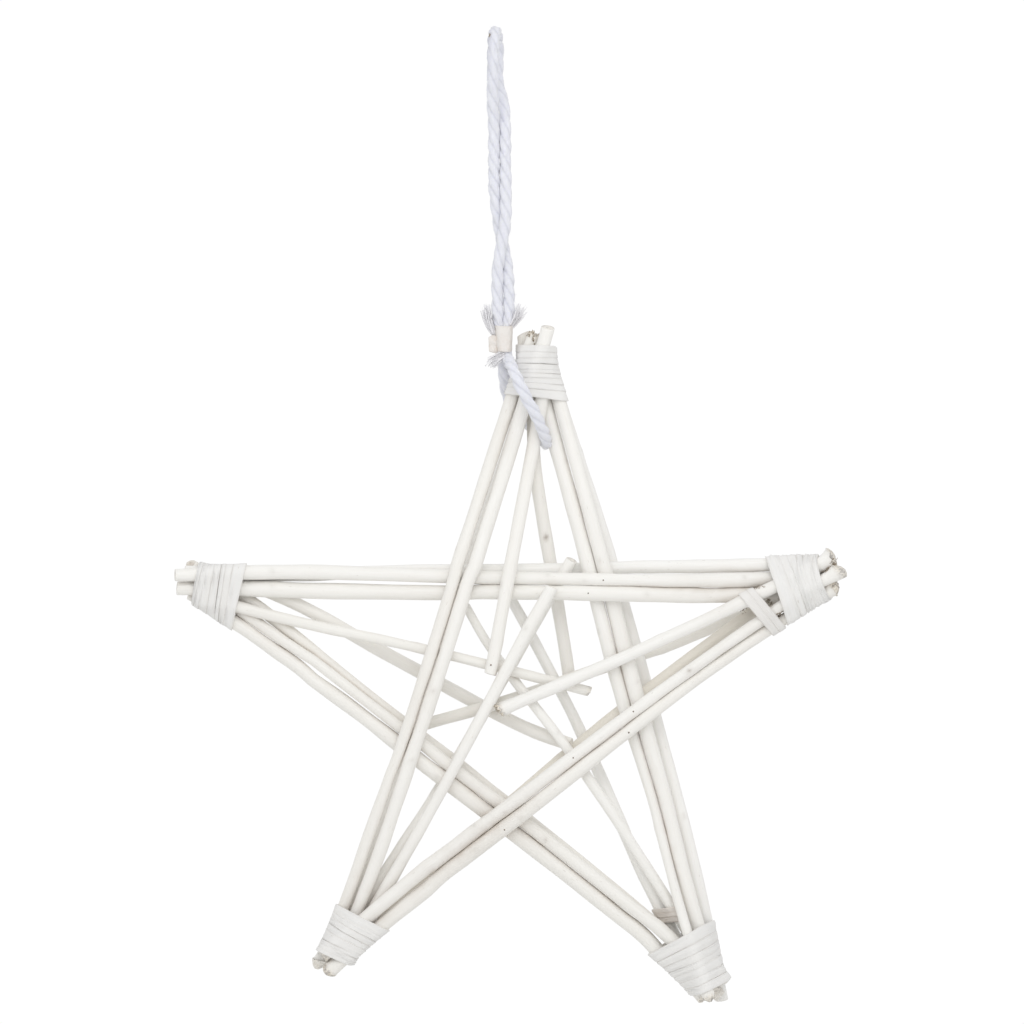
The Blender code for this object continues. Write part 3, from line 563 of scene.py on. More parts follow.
def bent_curve(points, spacing):
    """A curve through unevenly spaced points, as the part's own routes are made.

    It is the Catmull-Rom curve whose time between two points is the root of their distance.
    """
    p = np.asarray(points, float)
    p = np.vstack([2 * p[0] - p[1], p, 2 * p[-1] - p[-2]])
    t = np.concatenate([[0], np.cumsum(np.sqrt(np.linalg.norm(np.diff(p, axis=0), axis=1)))])
    t0, t1, t2, t3 = (t[k:len(t) - 3 + k, None, None] for k in range(4))
    p0, p1, p2, p3 = (p[k:len(p) - 3 + k, None, :] for k in range(4))
    u = t1 + (t2 - t1) * np.linspace(0, 1, ROUTE_STEPS, endpoint=False)[None, :, None]
    a1 = ((t1 - u) * p0 + (u - t0) * p1) / (t1 - t0)
    a2 = ((t2 - u) * p1 + (u - t1) * p2) / (t2 - t1)
    a3 = ((t3 - u) * p2 + (u - t2) * p3) / (t3 - t2)
    b1 = ((t2 - u) * a1 + (u - t0) * a2) / (t2 - t0)
    b2 = ((t3 - u) * a2 + (u - t1) * a3) / (t3 - t1)
    curve = ((t2 - u) * b1 + (u - t1) * b2) / (t2 - t1)
    return even_line(np.vstack([curve.reshape(-1, 3), p[-2:-1]]), spacing)


def frames(line, reference):
    """The way along a line and two directions across it, the first as near the reference as can be."""
    way = unit_rows(np.gradient(line, axis=0))
    side = unit_rows(reference - way * (way @ reference)[:, None])
    return way, side, np.cross(way, side)


def distance_along(line):
    """How far each point is from the line's first."""
    return np.concatenate([[0], np.cumsum(np.linalg.norm(np.diff(line, axis=0), axis=1))])


def wander(x, seed):
    """A smooth wandering value, mostly between -1 and 1.

    It is a sum of sines with seeded rates and phases, over the root of their number.
    """
    chance = np.random.default_rng(seed)
    rate = chance.uniform(*WANDER_RATES, WANDER_WAVES)
    phase = chance.uniform(0, 2 * math.pi, WANDER_WAVES)
    return np.sin(np.asarray(x)[..., None] * rate + phase).sum(-1) / math.sqrt(WANDER_WAVES)


def bump(x, width):
    """One at nought, falling smoothly to nothing at about twice the width: a bell curve."""
    return np.exp(-((x / width) ** 2))


def around(count):
    """That many angles, evenly spaced round a circle."""
    return np.arange(count) * 2 * math.pi / count


def unit_rows(vectors):
    """Each vector over its own length."""
    return vectors / np.linalg.norm(vectors, axis=-1, keepdims=True)


def columns_at(at, along, table):
    """Each column of a table, read off at other distances than those of its rows."""
    return np.stack([np.interp(at, along, table[:, k]) for k in range(table.shape[1])], axis=1)


def seen_away(points, pixel):
    """How far points are from a pixel's place, as the camera sees them."""
    return np.linalg.norm((points - at_pixel(*pixel))[:, ::2], axis=1)


def smoothed(row, count):
    """A running mean over so many values, with the first and the last carried on outwards."""
    return np.convolve(np.pad(row, count // 2, mode="edge"), np.ones(count) / count, "valid")


# Meshes


def placed(name, data):
    """An object in the scene from its data."""
    obj = bpy.data.objects.new(name, data)
    bpy.context.collection.objects.link(obj)
    return obj


def mesh_piece(name, points, faces, values, material):
    """A piece of the star from its points, its faces and the values at its points.

    The faces are turned over where the volume that they hold comes out negative, which is
    the sum over the faces of corner dot (next corner cross the one after).
    """
    volume = 0.0
    for block in faces:
        first, second, third = (points[block[:, k]] for k in range(3))
        volume += np.einsum("ij,ij->i", first, np.cross(second, third)).sum()
        if block.shape[1] == 4:
            last = points[block[:, 3]]
            volume += np.einsum("ij,ij->i", first, np.cross(third, last)).sum()
    turn = slice(None, None, 1 if volume > 0 else -1)
    mesh = bpy.data.meshes.new(name)
    mesh.from_pydata(points.tolist(), [], [row for block in faces for row in block[:, turn].tolist()])
    for key, value in values.items():
        kind = "FLOAT_VECTOR" if value.ndim == 2 else "FLOAT"
        layer = mesh.attributes.new(key, kind, "POINT")
        layer.data.foreach_set("vector" if value.ndim == 2 else "value", value.astype(np.float32).ravel())
    mesh.shade_smooth()
    mesh.materials.append(material)
    piece = placed(name, mesh)
    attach(piece, BODY)
    return piece


def tube_faces(rings, sides):
    """Faces of a tube: quads from each ring to the next, and fans from each end to a middle point."""
    index = np.arange(rings * sides).reshape(rings, sides)
    after = np.roll(index, -1, axis=1)
    quads = np.stack([index[:-1], after[:-1], after[1:], index[1:]], -1).reshape(-1, 4)
    foot, head = rings * sides, rings * sides + 1
    first = np.stack([np.full(sides, foot), after[0], index[0]], -1)
    last = np.stack([np.full(sides, head), index[-1], after[-1]], -1)
    return [quads, np.vstack([first, last])]


def tube_piece(name, rows, values, material):
    """A closed tube over rows[ring, corner]; every value is given in the same grid."""
    rings, sides = rows.shape[:2]

    def with_middles(grid):
        flat = grid.reshape(rings * sides, -1)
        flat = np.vstack([flat, grid[0].reshape(sides, -1).mean(0), grid[-1].reshape(sides, -1).mean(0)])
        return flat if grid.ndim == 3 else flat[:, 0]

    points = with_middles(rows)
    values = {key: with_middles(grid) for key, grid in values.items()}
    return mesh_piece(name, points, tube_faces(rings, sides), values, material)


def fibres_piece(name, feet, ways, curl, radius, taper, material, rings):
    """Many thin tapered fibres in one mesh.

    A fibre's middle is foot + way * k + curl * k squared, for k from 0 to 1, and its
    ring's radius falls by the taper towards the tip.
    """
    k = np.linspace(0, 1, rings)[None, :, None]
    line = feet[:, None] + ways[:, None] * k + curl[:, None] * k**2
    tangent = unit_rows(np.gradient(line, axis=1))
    side = unit_rows(np.cross(tangent, FIBRE_ASIDE))
    other = np.cross(tangent, side)
    turn = around(FIBRE_SIDES)
    thick = (radius[:, None, None] * (1 - taper[:, None, None] * k))[..., None]
    rows = (line[:, :, None] + thick * (np.cos(turn)[:, None] * side[:, :, None]
                                        + np.sin(turn)[:, None] * other[:, :, None]))
    count = len(feet)
    index = np.arange(count * rings * FIBRE_SIDES).reshape(count, rings, FIBRE_SIDES)
    after = np.roll(index, -1, axis=2)
    quads = np.stack([index[:, :-1], after[:, :-1], after[:, 1:], index[:, 1:]], -1).reshape(-1, 4)
    ends = np.vstack([index[:, 0, ::-1], index[:, -1]])
    points = rows.reshape(-1, 3)
    along = np.broadcast_to(k[..., 0], (count, rings))[..., None].repeat(FIBRE_SIDES, axis=2).reshape(-1)
    values = {"straight": points, "groove": 0.4 - 0.4 * along}
    return mesh_piece(name, points, [quads, ends], values, material)


# Node groups and materials


def new_group(name, sockets):
    """An empty shader node group: sockets are (name, "INPUT" or "OUTPUT", kind, default)."""
    group = bpy.data.node_groups.new(name, "ShaderNodeTree")
    for label, way, kind, default in sockets:
        socket = group.interface.new_socket(label, in_out=way, socket_type=kind)
        if default is not None:
            socket.default_value = default
    return group, group.nodes.new("NodeGroupInput"), group.nodes.new("NodeGroupOutput")


def set_inputs(tree, node, inputs):
    """Gives each input of a node its value, or links it where the value is a socket."""
    for key, value in dict(inputs).items():
        if isinstance(value, bpy.types.NodeSocket):
            tree.links.new(value, node.inputs[key])
        else:
            node.inputs[key].default_value = value


def add_node(tree, kind, inputs=(), **options):
    """A node with its options and its inputs."""
    node = tree.nodes.new(kind)
    for key, value in options.items():
        setattr(node, key, value)
    set_inputs(tree, node, inputs)
    return node


def grouped(tree, group, inputs):
    """A node that uses a group."""
    return add_node(tree, "ShaderNodeGroup", inputs, node_tree=group)


def noise(tree, place, scale, detail):
    """Noise at a place."""
    inputs = {"Vector": place, "Scale": scale, "Detail": detail}
    return add_node(tree, "ShaderNodeTexNoise", inputs).outputs[0]


def drawn_out(tree, place, share):
    """A place whose third coordinate counts for a share, which draws a texture out along it."""
    return add_node(tree, "ShaderNodeMapping", {"Vector": place, "Scale": (1.0, 1.0, share)}).outputs[0]


def mixed(tree, factor, first, second):
    """The result of mixing two colours."""
    return add_node(tree, "ShaderNodeMix", {0: factor, 6: first, 7: second}, data_type="RGBA").outputs[2]


def worked(tree, operation, first, second):
    """The result of an operation on two numbers or sockets."""
    return add_node(tree, "ShaderNodeMath", {0: first, 1: second}, operation=operation).outputs[0]


def times(tree, first, second):
    """The product of two numbers or sockets."""
    return worked(tree, "MULTIPLY", first, second)


def ranged(tree, value, low, high, new_low=0.0, new_high=1.0):
    """A value moved from one range to another, held at its ends."""
    inputs = {0: value, 1: low, 2: high, 3: new_low, 4: new_high}
    return add_node(tree, "ShaderNodeMapRange", inputs, clamp=True).outputs[0]


def wood_group():
    """Fibres along a piece of wood: fine streaks, broad pale and tan bands and small specks."""
    group, taken, given = new_group("Willow fibres", (
        ("Place", "INPUT", "NodeSocketVector", None),
        ("Pale", "INPUT", "NodeSocketColor", (0.8, 0.8, 0.8, 1)),
        ("Deep", "INPUT", "NodeSocketColor", (0.6, 0.6, 0.6, 1)),
        ("Fineness", "INPUT", "NodeSocketFloat", 1500.0),
        ("Streak", "INPUT", "NodeSocketFloat", 0.35),
        ("Color", "OUTPUT", "NodeSocketColor", None),
        ("Height", "OUTPUT", "NodeSocketFloat", None),
        ("Roughness", "OUTPUT", "NodeSocketFloat", None),
    ))
    place, pale, deep, fineness, streak = (taken.outputs[key] for key in
                                           ("Place", "Pale", "Deep", "Fineness", "Streak"))
    long = drawn_out(group, place, 0.16)
    fine = noise(group, drawn_out(group, place, 0.035), fineness, 3.0)
    broad = noise(group, long, 420.0, 4.0)
    cloud = noise(group, place, 38.0, 2.0)
    speck = noise(group, long, 1500.0, 1.0)
    streaks = ranged(group, fine, 0.42, 0.68)
    bands = ranged(group, broad, 0.5, 0.78)
    soft = ranged(group, cloud, 0.45, 0.75, 0.0, 0.8)
    amount = times(group, worked(group, "MAXIMUM", streaks, bands), streak)
    amount = worked(group, "MAXIMUM", amount, times(group, soft, streak))
    dots = times(group, ranged(group, speck, 0.74, 0.8), 0.35)
    relief = worked(group, "ADD", times(group, fine, 0.35), broad)
    set_inputs(group, given, {
        "Color": mixed(group, dots, mixed(group, amount, pale, deep), COLOURS["speck"]),
        "Height": worked(group, "SUBTRACT", 1.0, relief),
        "Roughness": ranged(group, fine, 0.3, 0.7, 0.5, 0.66)})
    return group


def stain_and_shade_group():
    """Lays a stain over a colour where a mask is high, broken up a little by noise; where the mask is the gap
    between the sticks, it is painted shade as well as stain.
    """
    group, taken, given = new_group("Stain and shade", (
        ("Color", "INPUT", "NodeSocketColor", (0.8, 0.8, 0.8, 1)),
        ("Stain and shade", "INPUT", "NodeSocketColor", (0.4, 0.3, 0.2, 1)),
        ("Mask", "INPUT", "NodeSocketFloat", 0.0),
        ("Place", "INPUT", "NodeSocketVector", None),
        ("Amount", "INPUT", "NodeSocketFloat", 0.6),
        ("Color", "OUTPUT", "NodeSocketColor", None),
    ))
    cloud = noise(group, taken.outputs["Place"], 160.0, 3.0)
    broken = times(group, taken.outputs["Mask"], ranged(group, cloud, 0.3, 0.65, 0.45, 1.0))
    amount = times(group, broken, taken.outputs["Amount"])
    colour = mixed(group, amount, taken.outputs["Color"], taken.outputs["Stain and shade"])
    set_inputs(group, given, {"Color": colour})
    return group


def new_material(name):
    """A material with its Principled shader, its tree and a reader of the pieces' attributes."""
    material = bpy.data.materials.new(name)
    material.use_nodes = True
    tree = material.node_tree
    shader = tree.nodes["Principled BSDF"]

    def read(key, output="Fac"):
        return add_node(tree, "ShaderNodeAttribute", attribute_name=key).outputs[output]

    return material, tree, shader, read


def rgba(colour):
    """A colour with its alpha."""
    return (*tuple(colour), 1.0)


def use_bump(tree, shader, height, strength, distance):
    """Feeds a height through a Bump node to the shader's normal."""
    node = add_node(tree, "ShaderNodeBump", {"Height": height, "Strength": strength, "Distance": distance})
    set_inputs(tree, shader, {"Normal": node.outputs[0]})


def willow_material(groups):
    """Peeled willow: pale fibres, tan knots and cuts, a random tone with painted shade on some sticks, and
    brown stain with painted shade where sticks touch.
    """
    values = settings("star_sticks")
    material, tree, shader, read = new_material("peeled willow")
    place = read("straight", "Vector")
    wood = grouped(tree, groups["wood"], {"Place": place, "Pale": rgba(values.pale),
                                          "Deep": rgba(values.deep)})
    # The tint is each stick's random tone, plus painted shade as tan on the sticks that lie behind or get
    # less light
    tinted_and_shaded = mixed(tree, times(tree, read("tint_and_shade"), 0.3), wood.outputs["Color"], COLOURS["tinted_and_shaded"])
    # Painted shade and stain between the sticks, where the gap mask is high
    stained_and_shaded = grouped(tree, groups["stain_and_shade"], {"Color": tinted_and_shaded, "Stain and shade": rgba(values.stain_and_shade),
                                              "Mask": read("gap"), "Place": place, "Amount": 0.52})
    knotted = grouped(tree, groups["stain_and_shade"], {"Color": stained_and_shaded.outputs[0], "Stain and shade": COLOURS["knot"],
                                              "Mask": read("knot"), "Place": place, "Amount": 0.85})
    grain = ranged(tree, noise(tree, place, 1400.0, 3.0), 0.4, 0.6)
    holes = ranged(tree, noise(tree, place, 620.0, 2.0), 0.51, 0.58)
    cut = mixed(tree, holes, mixed(tree, grain, COLOURS["cut"], COLOURS["cut grain"]), COLOURS["cut hole"])
    set_inputs(tree, shader, {
        "Base Color": mixed(tree, times(tree, read("cut"), 0.8), knotted.outputs[0], cut),
        "Roughness": wood.outputs["Roughness"]})
    use_bump(tree, shader, wood.outputs["Height"], 0.4, 0.0003)
    return material


def strip_material(groups):
    """Split willow: a little smoother than the sticks, with fine lengthwise lines."""
    values = settings("star_lashings")
    material, tree, shader, read = new_material("split willow")
    place = read("straight", "Vector")
    wood = grouped(tree, groups["wood"], {"Place": place, "Pale": rgba(values.pale),
                                          "Deep": rgba(values.deep), "Fineness": 1200.0, "Streak": 0.4})
    edge = grouped(tree, groups["stain_and_shade"], {"Color": wood.outputs["Color"], "Stain and shade": COLOURS["edge"],
                                           "Mask": read("edge"), "Place": place, "Amount": 0.3})
    # Brown painted shade on the wraps that lie deep among the sticks
    set_inputs(tree, shader, {
        "Base Color": mixed(tree, times(tree, read("wrap_shade"), 0.6), edge.outputs[0], COLOURS["wrap_shade"]),
        "Roughness": wood.outputs["Roughness"], "Specular IOR Level": 0.25})
    use_bump(tree, shader, wood.outputs["Height"], 0.45, 0.0004)
    return material


def cotton_material(name, colour, groove, soft):
    """Twisted cotton: fine fibres that follow the strands, with painted shade in the grooves."""
    material, tree, shader, read = new_material(name)
    place = read("straight", "Vector")
    fine = noise(tree, drawn_out(tree, place, 0.12), 2600.0, 3.0)
    cloud = noise(tree, place, 90.0, 2.0)
    deep = times(tree, read("groove"), ranged(tree, cloud, 0.3, 0.7, 0.6, 1.0))
    amount = worked(tree, "MAXIMUM", deep, times(tree, ranged(tree, fine, 0.5, 0.75), 0.34))
    set_inputs(tree, shader, {
        "Base Color": mixed(tree, amount, rgba(colour), rgba(groove)), "Roughness": 0.92,
        "Subsurface Weight": soft, "Subsurface Radius": (0.9, 0.9, 1.0), "Subsurface Scale": 0.0012,
        "Sheen Weight": 0.25, "Sheen Roughness": 0.6})
    use_bump(tree, shader, fine, 0.6, 0.0003)
    return material


def tape_material():
    """Cream cloth tape: a fine weave, faint wrap lines and a slightly soiled surface."""
    values = settings("star_rope")
    material, tree, shader, read = new_material("cloth tape")
    place = read("straight", "Vector")
    wave = {"Vector": place, "Scale": 520.0, "Distortion": 1.2, "Detail": 2.0}
    across = add_node(tree, "ShaderNodeTexWave", wave, wave_type="BANDS", bands_direction="Z").outputs[1]
    soil = times(tree, ranged(tree, noise(tree, place, 260.0, 4.0), 0.42, 0.7), 0.4)
    lines = times(tree, ranged(tree, across, 0.0, 0.5, 1.0, 0.0), 0.12)
    colour = mixed(tree, worked(tree, "MAXIMUM", soil, lines), rgba(values.tape), COLOURS["soil"])
    set_inputs(tree, shader, {"Base Color": colour, "Roughness": 0.7})
    use_bump(tree, shader, across, 0.25, 0.00008)
    return material


def steel_material():
    """Small dark nail heads with a little rust."""
    material, tree, shader, _ = new_material("dark steel")
    spot = noise(tree, add_node(tree, "ShaderNodeTexCoord").outputs["Object"], 1800.0, 3.0)
    set_inputs(tree, shader, {
        "Base Color": mixed(tree, ranged(tree, spot, 0.42, 0.62), COLOURS["steel"], COLOURS["rust"]),
        "Metallic": ranged(tree, spot, 0.4, 0.6, 0.85, 0.3),
        "Roughness": ranged(tree, spot, 0.4, 0.6, 0.4, 0.75)})
    return material


def material_named(name, make):
    """A material that is made the first time that it is asked for."""
    return bpy.data.materials.get(name) or make()


def shared_groups():
    """The node groups that several materials use."""
    wood = bpy.data.node_groups.get("Willow fibres") or wood_group()
    stain_and_shade = bpy.data.node_groups.get("Stain and shade") or stain_and_shade_group()
    return {"wood": wood, "stain_and_shade": stain_and_shade}


# Sticks


def stick_middle(node):
    """A stick's middle line and radii, read from its solid, whose corners are sorted into rings."""
    bm = bmesh.new()
    bm.from_mesh(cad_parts[node].data)
    bmesh.ops.remove_doubles(bm, verts=bm.verts, dist=0.01 * MM)
    corners = np.array([v.co[:] for v in bm.verts])
    bm.free()
    centred = corners - corners.mean(0)
    way = np.linalg.svd(centred, full_matrices=False)[2][0]
    rings = corners[np.argsort(centred @ way)].reshape(-1, SOLID_SIDES, 3)
    middle = rings.mean(1)
    radii = np.linalg.norm(rings - middle[:, None], axis=2).mean(1) / SOLID_FULLER
    tip = tip_place(stick_tips(node)[0])
    if np.linalg.norm(middle[0] - tip) > np.linalg.norm(middle[-1] - tip):
        middle, radii = middle[::-1], radii[::-1]
    return np.hstack([middle, radii[:, None]])


def stick_tips(node):
    """The tips that a stick runs between; a short stick has one."""
    words = node.split("_")
    if words[0] == "arm":
        return ARMS[words[1]]
    return ("_".join(words[1:-1]),)


def edge_middle(edge):
    """The middle of a turn's edge in the star's plane."""
    return (at_pixel(*edge[:2]) + at_pixel(*edge[2:])) / 2


def tip_place(tip):
    """The outer end of a tip's lashing."""
    return edge_middle(LASHINGS[tip][1][0])


def trimmed(line, end, by):
    """A line made longer at an end by so much, or shorter: its new last point lies on it or ahead of it."""
    if end == 0:
        return trimmed(line[::-1], 1, by)[::-1]
    along = distance_along(line[:, :3])
    if by > 0:
        ahead = line[-1] + (line[-1] - line[-4]) * by / (along[-1] - along[-4])
        ahead[3] = line[-1, 3]
        return np.vstack([line, ahead])
    keep = along < along[-1] + by - 0.3 * MM
    return np.vstack([line[keep], columns_at([along[-1] + by], along, line)])


def bent(line, pixel, shift, width):
    """A line moved in the star's plane by a shift that fades with the distance from a pixel's place."""
    away = seen_away(line[:, :3], pixel)
    away = np.clip(away - away.min(), 0, None)
    moved = line.copy()
    moved[:, 0] += shift[0] * PIXEL * MM * bump(away, width * MM)
    moved[:, 2] -= shift[1] * PIXEL * MM * bump(away, width * MM)
    return moved


def strayed(line, sideways, thicker):
    """A line moved sideways in the star's plane, and made thicker, by values at even steps along it."""
    along = distance_along(line[:, :3])
    share = along / along[-1]
    way = np.gradient(line[:, :3], axis=0)
    way[:, 1] = 0.0
    way = unit_rows(way)
    aside, more = (np.interp(share, np.linspace(0, 1, len(row)), row) for row in (sideways, thicker))
    aside, more = (smoothed(row, STRAY_SMOOTHED) * PIXEL * MM for row in (aside, more))
    moved = line.copy()
    moved[:, 0] -= way[:, 2] * aside
    moved[:, 2] += way[:, 0] * aside
    moved[:, 3] += more
    return moved


def drawn_shift(line, other, axis, low, high):
    """Half of the way from each point of a line to the other line's skin, between two pixels."""
    to = other[None, :, :3] - line[:, None, :3]
    to[..., 1] = 0.0
    far = np.linalg.norm(to, axis=2)
    near = far.argmin(1)
    row = np.arange(len(line))
    gap = far[row, near] - line[:, 3] - other[near, 3] - TOUCH_ROOM * MM
    gap = np.clip(gap, 0, TOUCH_REACH * MM)
    pixel = line[:, 0] / MM / PIXEL + PIXEL_X if axis == 0 else PIXEL_Y - line[:, 2] / MM / PIXEL
    after, before = (np.clip(far_in / TOUCH_FADE + 0.5, 0, 1) for far_in in (pixel - low, high - pixel))
    share = after * before
    return to[row, near] / far[row, near][:, None] * (gap * share / 2)[:, None]


def all_sticks():
    """Every stick's middle line and radii at close spacing, trimmed, bent and drawn together."""
    values = settings("star_sticks")
    sticks = {}
    for name in sorted(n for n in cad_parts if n.startswith(("arm_", "short_"))):
        line = smooth_line(stick_middle(name), values.spacing)
        for (stick, end), by in TRIMS.items():
            if stick == name:
                line = trimmed(line, end, by * MM)
        for stick, pixel, shift, width in BENDS:
            if stick == name:
                line = bent(line, pixel, shift, width)
        line[:, 3] *= values.fuller * STOUT.get(name, 1.0)
        sticks[name] = strayed(line, *STRAYS[name]) if name in STRAYS else line
    for one, other, axis, low, high in TOUCHING * 3:
        first = drawn_shift(sticks[one], sticks[other], axis, low, high)
        second = drawn_shift(sticks[other], sticks[one], axis, low, high)
        sticks[one][:, :3] += first
        sticks[other][:, :3] += second
    return sticks


def gap_mask(points, others):
    """How near each point is to the other sticks: one at their skin, falling off outwards. It is the
    mask of painted shade and stain between the sticks.

    Where the shade and stain spread it falls off more slowly, times the amount of spread; where the
    amount is below zero, the sticks are clean of them.
    """
    near = np.array([amount * bump(seen_away(points, pixel), reach * MM) for pixel, reach, amount in SPREADS])
    spread = np.clip(near.max(0), 0, 1)
    clean = 1 + np.clip(near.min(0), -1, 0)
    low, high = points.min(0) - SHADE_AND_STAIN_REACH * MM, points.max(0) + SHADE_AND_STAIN_REACH * MM
    beside = others[((others[:, :3] > low) & (others[:, :3] < high)).all(1)].astype(np.float32)
    mask = np.zeros(len(points), np.float32)
    p = points.astype(np.float32)
    for start in range(0, len(p), POINTS_AT_ONCE):
        part = slice(start, start + POINTS_AT_ONCE)
        away = np.sqrt(((p[part][:, None] - beside[None, :, :3]) ** 2).sum(2)) - beside[:, 3]
        away = np.clip(away.min(1), 0, None)
        mask[part] = np.maximum(np.exp(-away / (SHADE_AND_STAIN_FADE * MM)),
                                spread[part] * np.exp(-away / (SPREAD_FADE * MM)))
    return mask * clean


def flare(name, s, length):
    """How much thicker a stick is at distances along it, because of its spread ends."""
    ends = ((FLARES.get((name, end), 1.0), near) for end, near in enumerate((s, length - s)))
    return np.prod([1 + (more - 1) * bump(near, FLARE_LENGTH * MM) for more, near in ends], axis=0)


def knots_on(name, s, centre, a, chance):
    """The bud scars of a stick: how dark it is and how high, at its distances and angles."""
    knots = np.zeros((len(s), len(a)))
    height = np.zeros_like(knots)
    spots = [(chance.uniform(*KNOT_SPAN) * s[-1], chance.uniform(0, 2 * math.pi), KNOT_DARK)
             for _ in range(max(2, round(s[-1] / (KNOT_EVERY * MM))))]
    for stick, pixel, strength in DARK_KNOTS:
        if stick == name:
            spots.append((s[seen_away(centre, pixel).argmin()], math.pi, strength))
    for place, angle, strength in spots:
        turned = (a[None, :] - angle + math.pi) % (2 * math.pi) - math.pi
        far = s[:, None] - place
        spot, swelling = (bump(far - shift * MM, long * MM) * bump(turned, wide)
                          for shift, (long, wide) in ((0.0, KNOT_SPOT), (KNOT_SHIFT, KNOT_SWELLING)))
        knots += strength * spot
        height += min(1.0, 0.5 + strength) * swelling
    return knots, height


def stick_rows(name, line, number):
    """The skin of one stick as rings of corners, with its values.

    Ring i, corner j lies at middle(s) + f R(s, a) (side cos a + up sin a), where R is the
    stick's radius times one plus a slow swell, lengthwise ridges and its knots, and f is one
    except over the cut ends, where the rings close in. The ends are sheared by their slope,
    and drawn back by the square of the distance from the middle where they are rounded.
    """
    values = settings("star_sticks")
    chance = np.random.default_rng(100 + number)
    along = distance_along(line[:, :3])
    length = along[-1]
    ends = np.array(END_PLACES) * MM
    inner = along[(along > END_ROOM * MM) & (along < length - END_ROOM * MM)]
    s = np.concatenate([ends, inner, length - ends[::-1]])
    f = np.concatenate([END_CLOSING, np.ones(len(inner)), END_CLOSING[::-1]])
    centre = columns_at(s, along, line[:, :3])
    r = np.interp(s, along, line[:, 3]) * flare(name, s, length)
    way, side, up = (columns_at(s, along, across) for across in frames(line[:, :3], BACK))
    a = around(values.sides)
    swell = values.swell * wander(s / (SWELL_LENGTH * MM), 200 + number)
    ridges = 0
    for m in RIDGES:
        phase = chance.uniform(0, 6)
        waver = 1.5 * wander(s / (RIDGE_LENGTH * MM), 300 + number + m)[:, None]
        ridges = ridges + np.cos(m * a[None, :] + phase + waver)
    knots, height = knots_on(name, s, centre, a, chance)
    skin = r[:, None] * (1 + swell[:, None] + ridges * values.ridge) + values.knot * height
    out = side[:, None] * np.cos(a)[None, :, None] + up[:, None] * np.sin(a)[None, :, None]
    reach = f[:, None] * skin
    rows = centre[:, None] + reach[..., None] * out
    cut = np.broadcast_to(np.clip((0.99 - f) * 12, 0, 1)[:, None], knots.shape) * 0.35
    for end, (near, sign) in enumerate(((s, -1.0), (length - s, 1.0))):
        plain = (chance.uniform(*PLAIN_SLOPES), chance.uniform(0, 360), 0.0, 0.1)
        slope, angle, torn, rounded = SPECIAL_CUTS.get((name, end), plain)
        weight = np.clip(1 - near / (CUT_DEPTH * MM), 0, 1)[:, None] ** 2
        shear = slope * reach * np.cos(a[None, :] - math.radians(angle)) - rounded * reach**2 / r.mean()
        rough = torn * (wander(a * 3.1, 400 + number + end)[None, :] * f[:, None]
                        + 0.8 * wander(f * 40.0 + 3, 500 + number + end)[:, None] * (1 - f[:, None]))
        rows += (sign * weight * (shear + rough * MM))[..., None] * way[:, None]
        cut = np.maximum(cut, torn * bump(near, TORN_TAN * MM)[:, None])
    straight = np.stack([reach * np.cos(a), reach * np.sin(a),
                         np.broadcast_to(s[:, None], reach.shape)], axis=-1)
    straight = straight + chance.uniform(0, 0.5, 3)
    # A random tone for each stick, plus painted shade as tan on the sticks that lie behind or get less light
    tint_and_shade = np.full(knots.shape, chance.uniform(0, 1) + SHADED_TANNER.get(name, 0.0))
    return rows, {"straight": straight, "knot": np.clip(knots, 0, 1), "cut": cut, "tint_and_shade": tint_and_shade}


# Lashings


def sleeve(lines, origin, out, across, stations, steps):
    """The taut outline round the sticks at each station along a lashing.

    In every direction the outline reaches as far as the furthest stick: the largest of its
    middle in that direction plus its radius. Neighbouring tangents meet in a corner, and the
    corners are spaced evenly round the outline, from the back over the far side. The
    outline's own directions outwards come with it.
    """
    angles = around(SLEEVE_WAYS)
    ways = np.stack([np.sin(angles), np.cos(angles)])
    reach = np.full((len(stations), len(angles)), -1.0)
    for line in lines:
        along = (line[:, :3] - origin) @ out
        order = np.argsort(along)
        u = np.interp(stations, along[order], ((line[:, :3] - origin) @ across)[order])
        v = np.interp(stations, along[order], line[order, 1])
        r = np.interp(stations, along[order], line[order, 3])
        own = u[:, None] * ways[0] + v[:, None] * ways[1] + r[:, None]
        inside = (stations > along.min() - SLEEVE_PAST * MM) & (stations < along.max() + SLEEVE_PAST * MM)
        reach = np.maximum(reach, np.where(inside[:, None], own, -1.0))
    reach = np.stack([smoothed(column, SLEEVE_SMOOTHED) for column in reach.T], axis=1)
    after = np.roll(reach, -1, axis=1)
    n1 = np.roll(ways, -1, axis=1)
    det = ways[0] * n1[1] - ways[1] * n1[0]
    u = (reach * n1[1] - after * ways[1]) / det
    v = (after * ways[0] - reach * n1[0]) / det
    outline = np.stack([u, v], axis=-1)
    shape = np.empty((len(stations), steps + 1, 2))
    for k, ring in enumerate(outline):
        ring = np.vstack([ring, ring[:1]])
        far = distance_along(ring)
        shape[k] = columns_at(np.linspace(0, far[-1], steps + 1), far, ring)
    slope = np.roll(shape[:, :-1], -1, axis=1) - np.roll(shape[:, :-1], 1, axis=1)
    slope = np.concatenate([slope, slope[:, :1]], axis=1)
    normal = np.stack([-slope[..., 1], slope[..., 0]], axis=-1)
    normal /= np.linalg.norm(normal, axis=2)[..., None] + 1e-12
    if (normal * (shape - shape.mean(1, keepdims=True))).sum() < 0:
        normal = -normal
    return np.concatenate([shape, normal], axis=2)


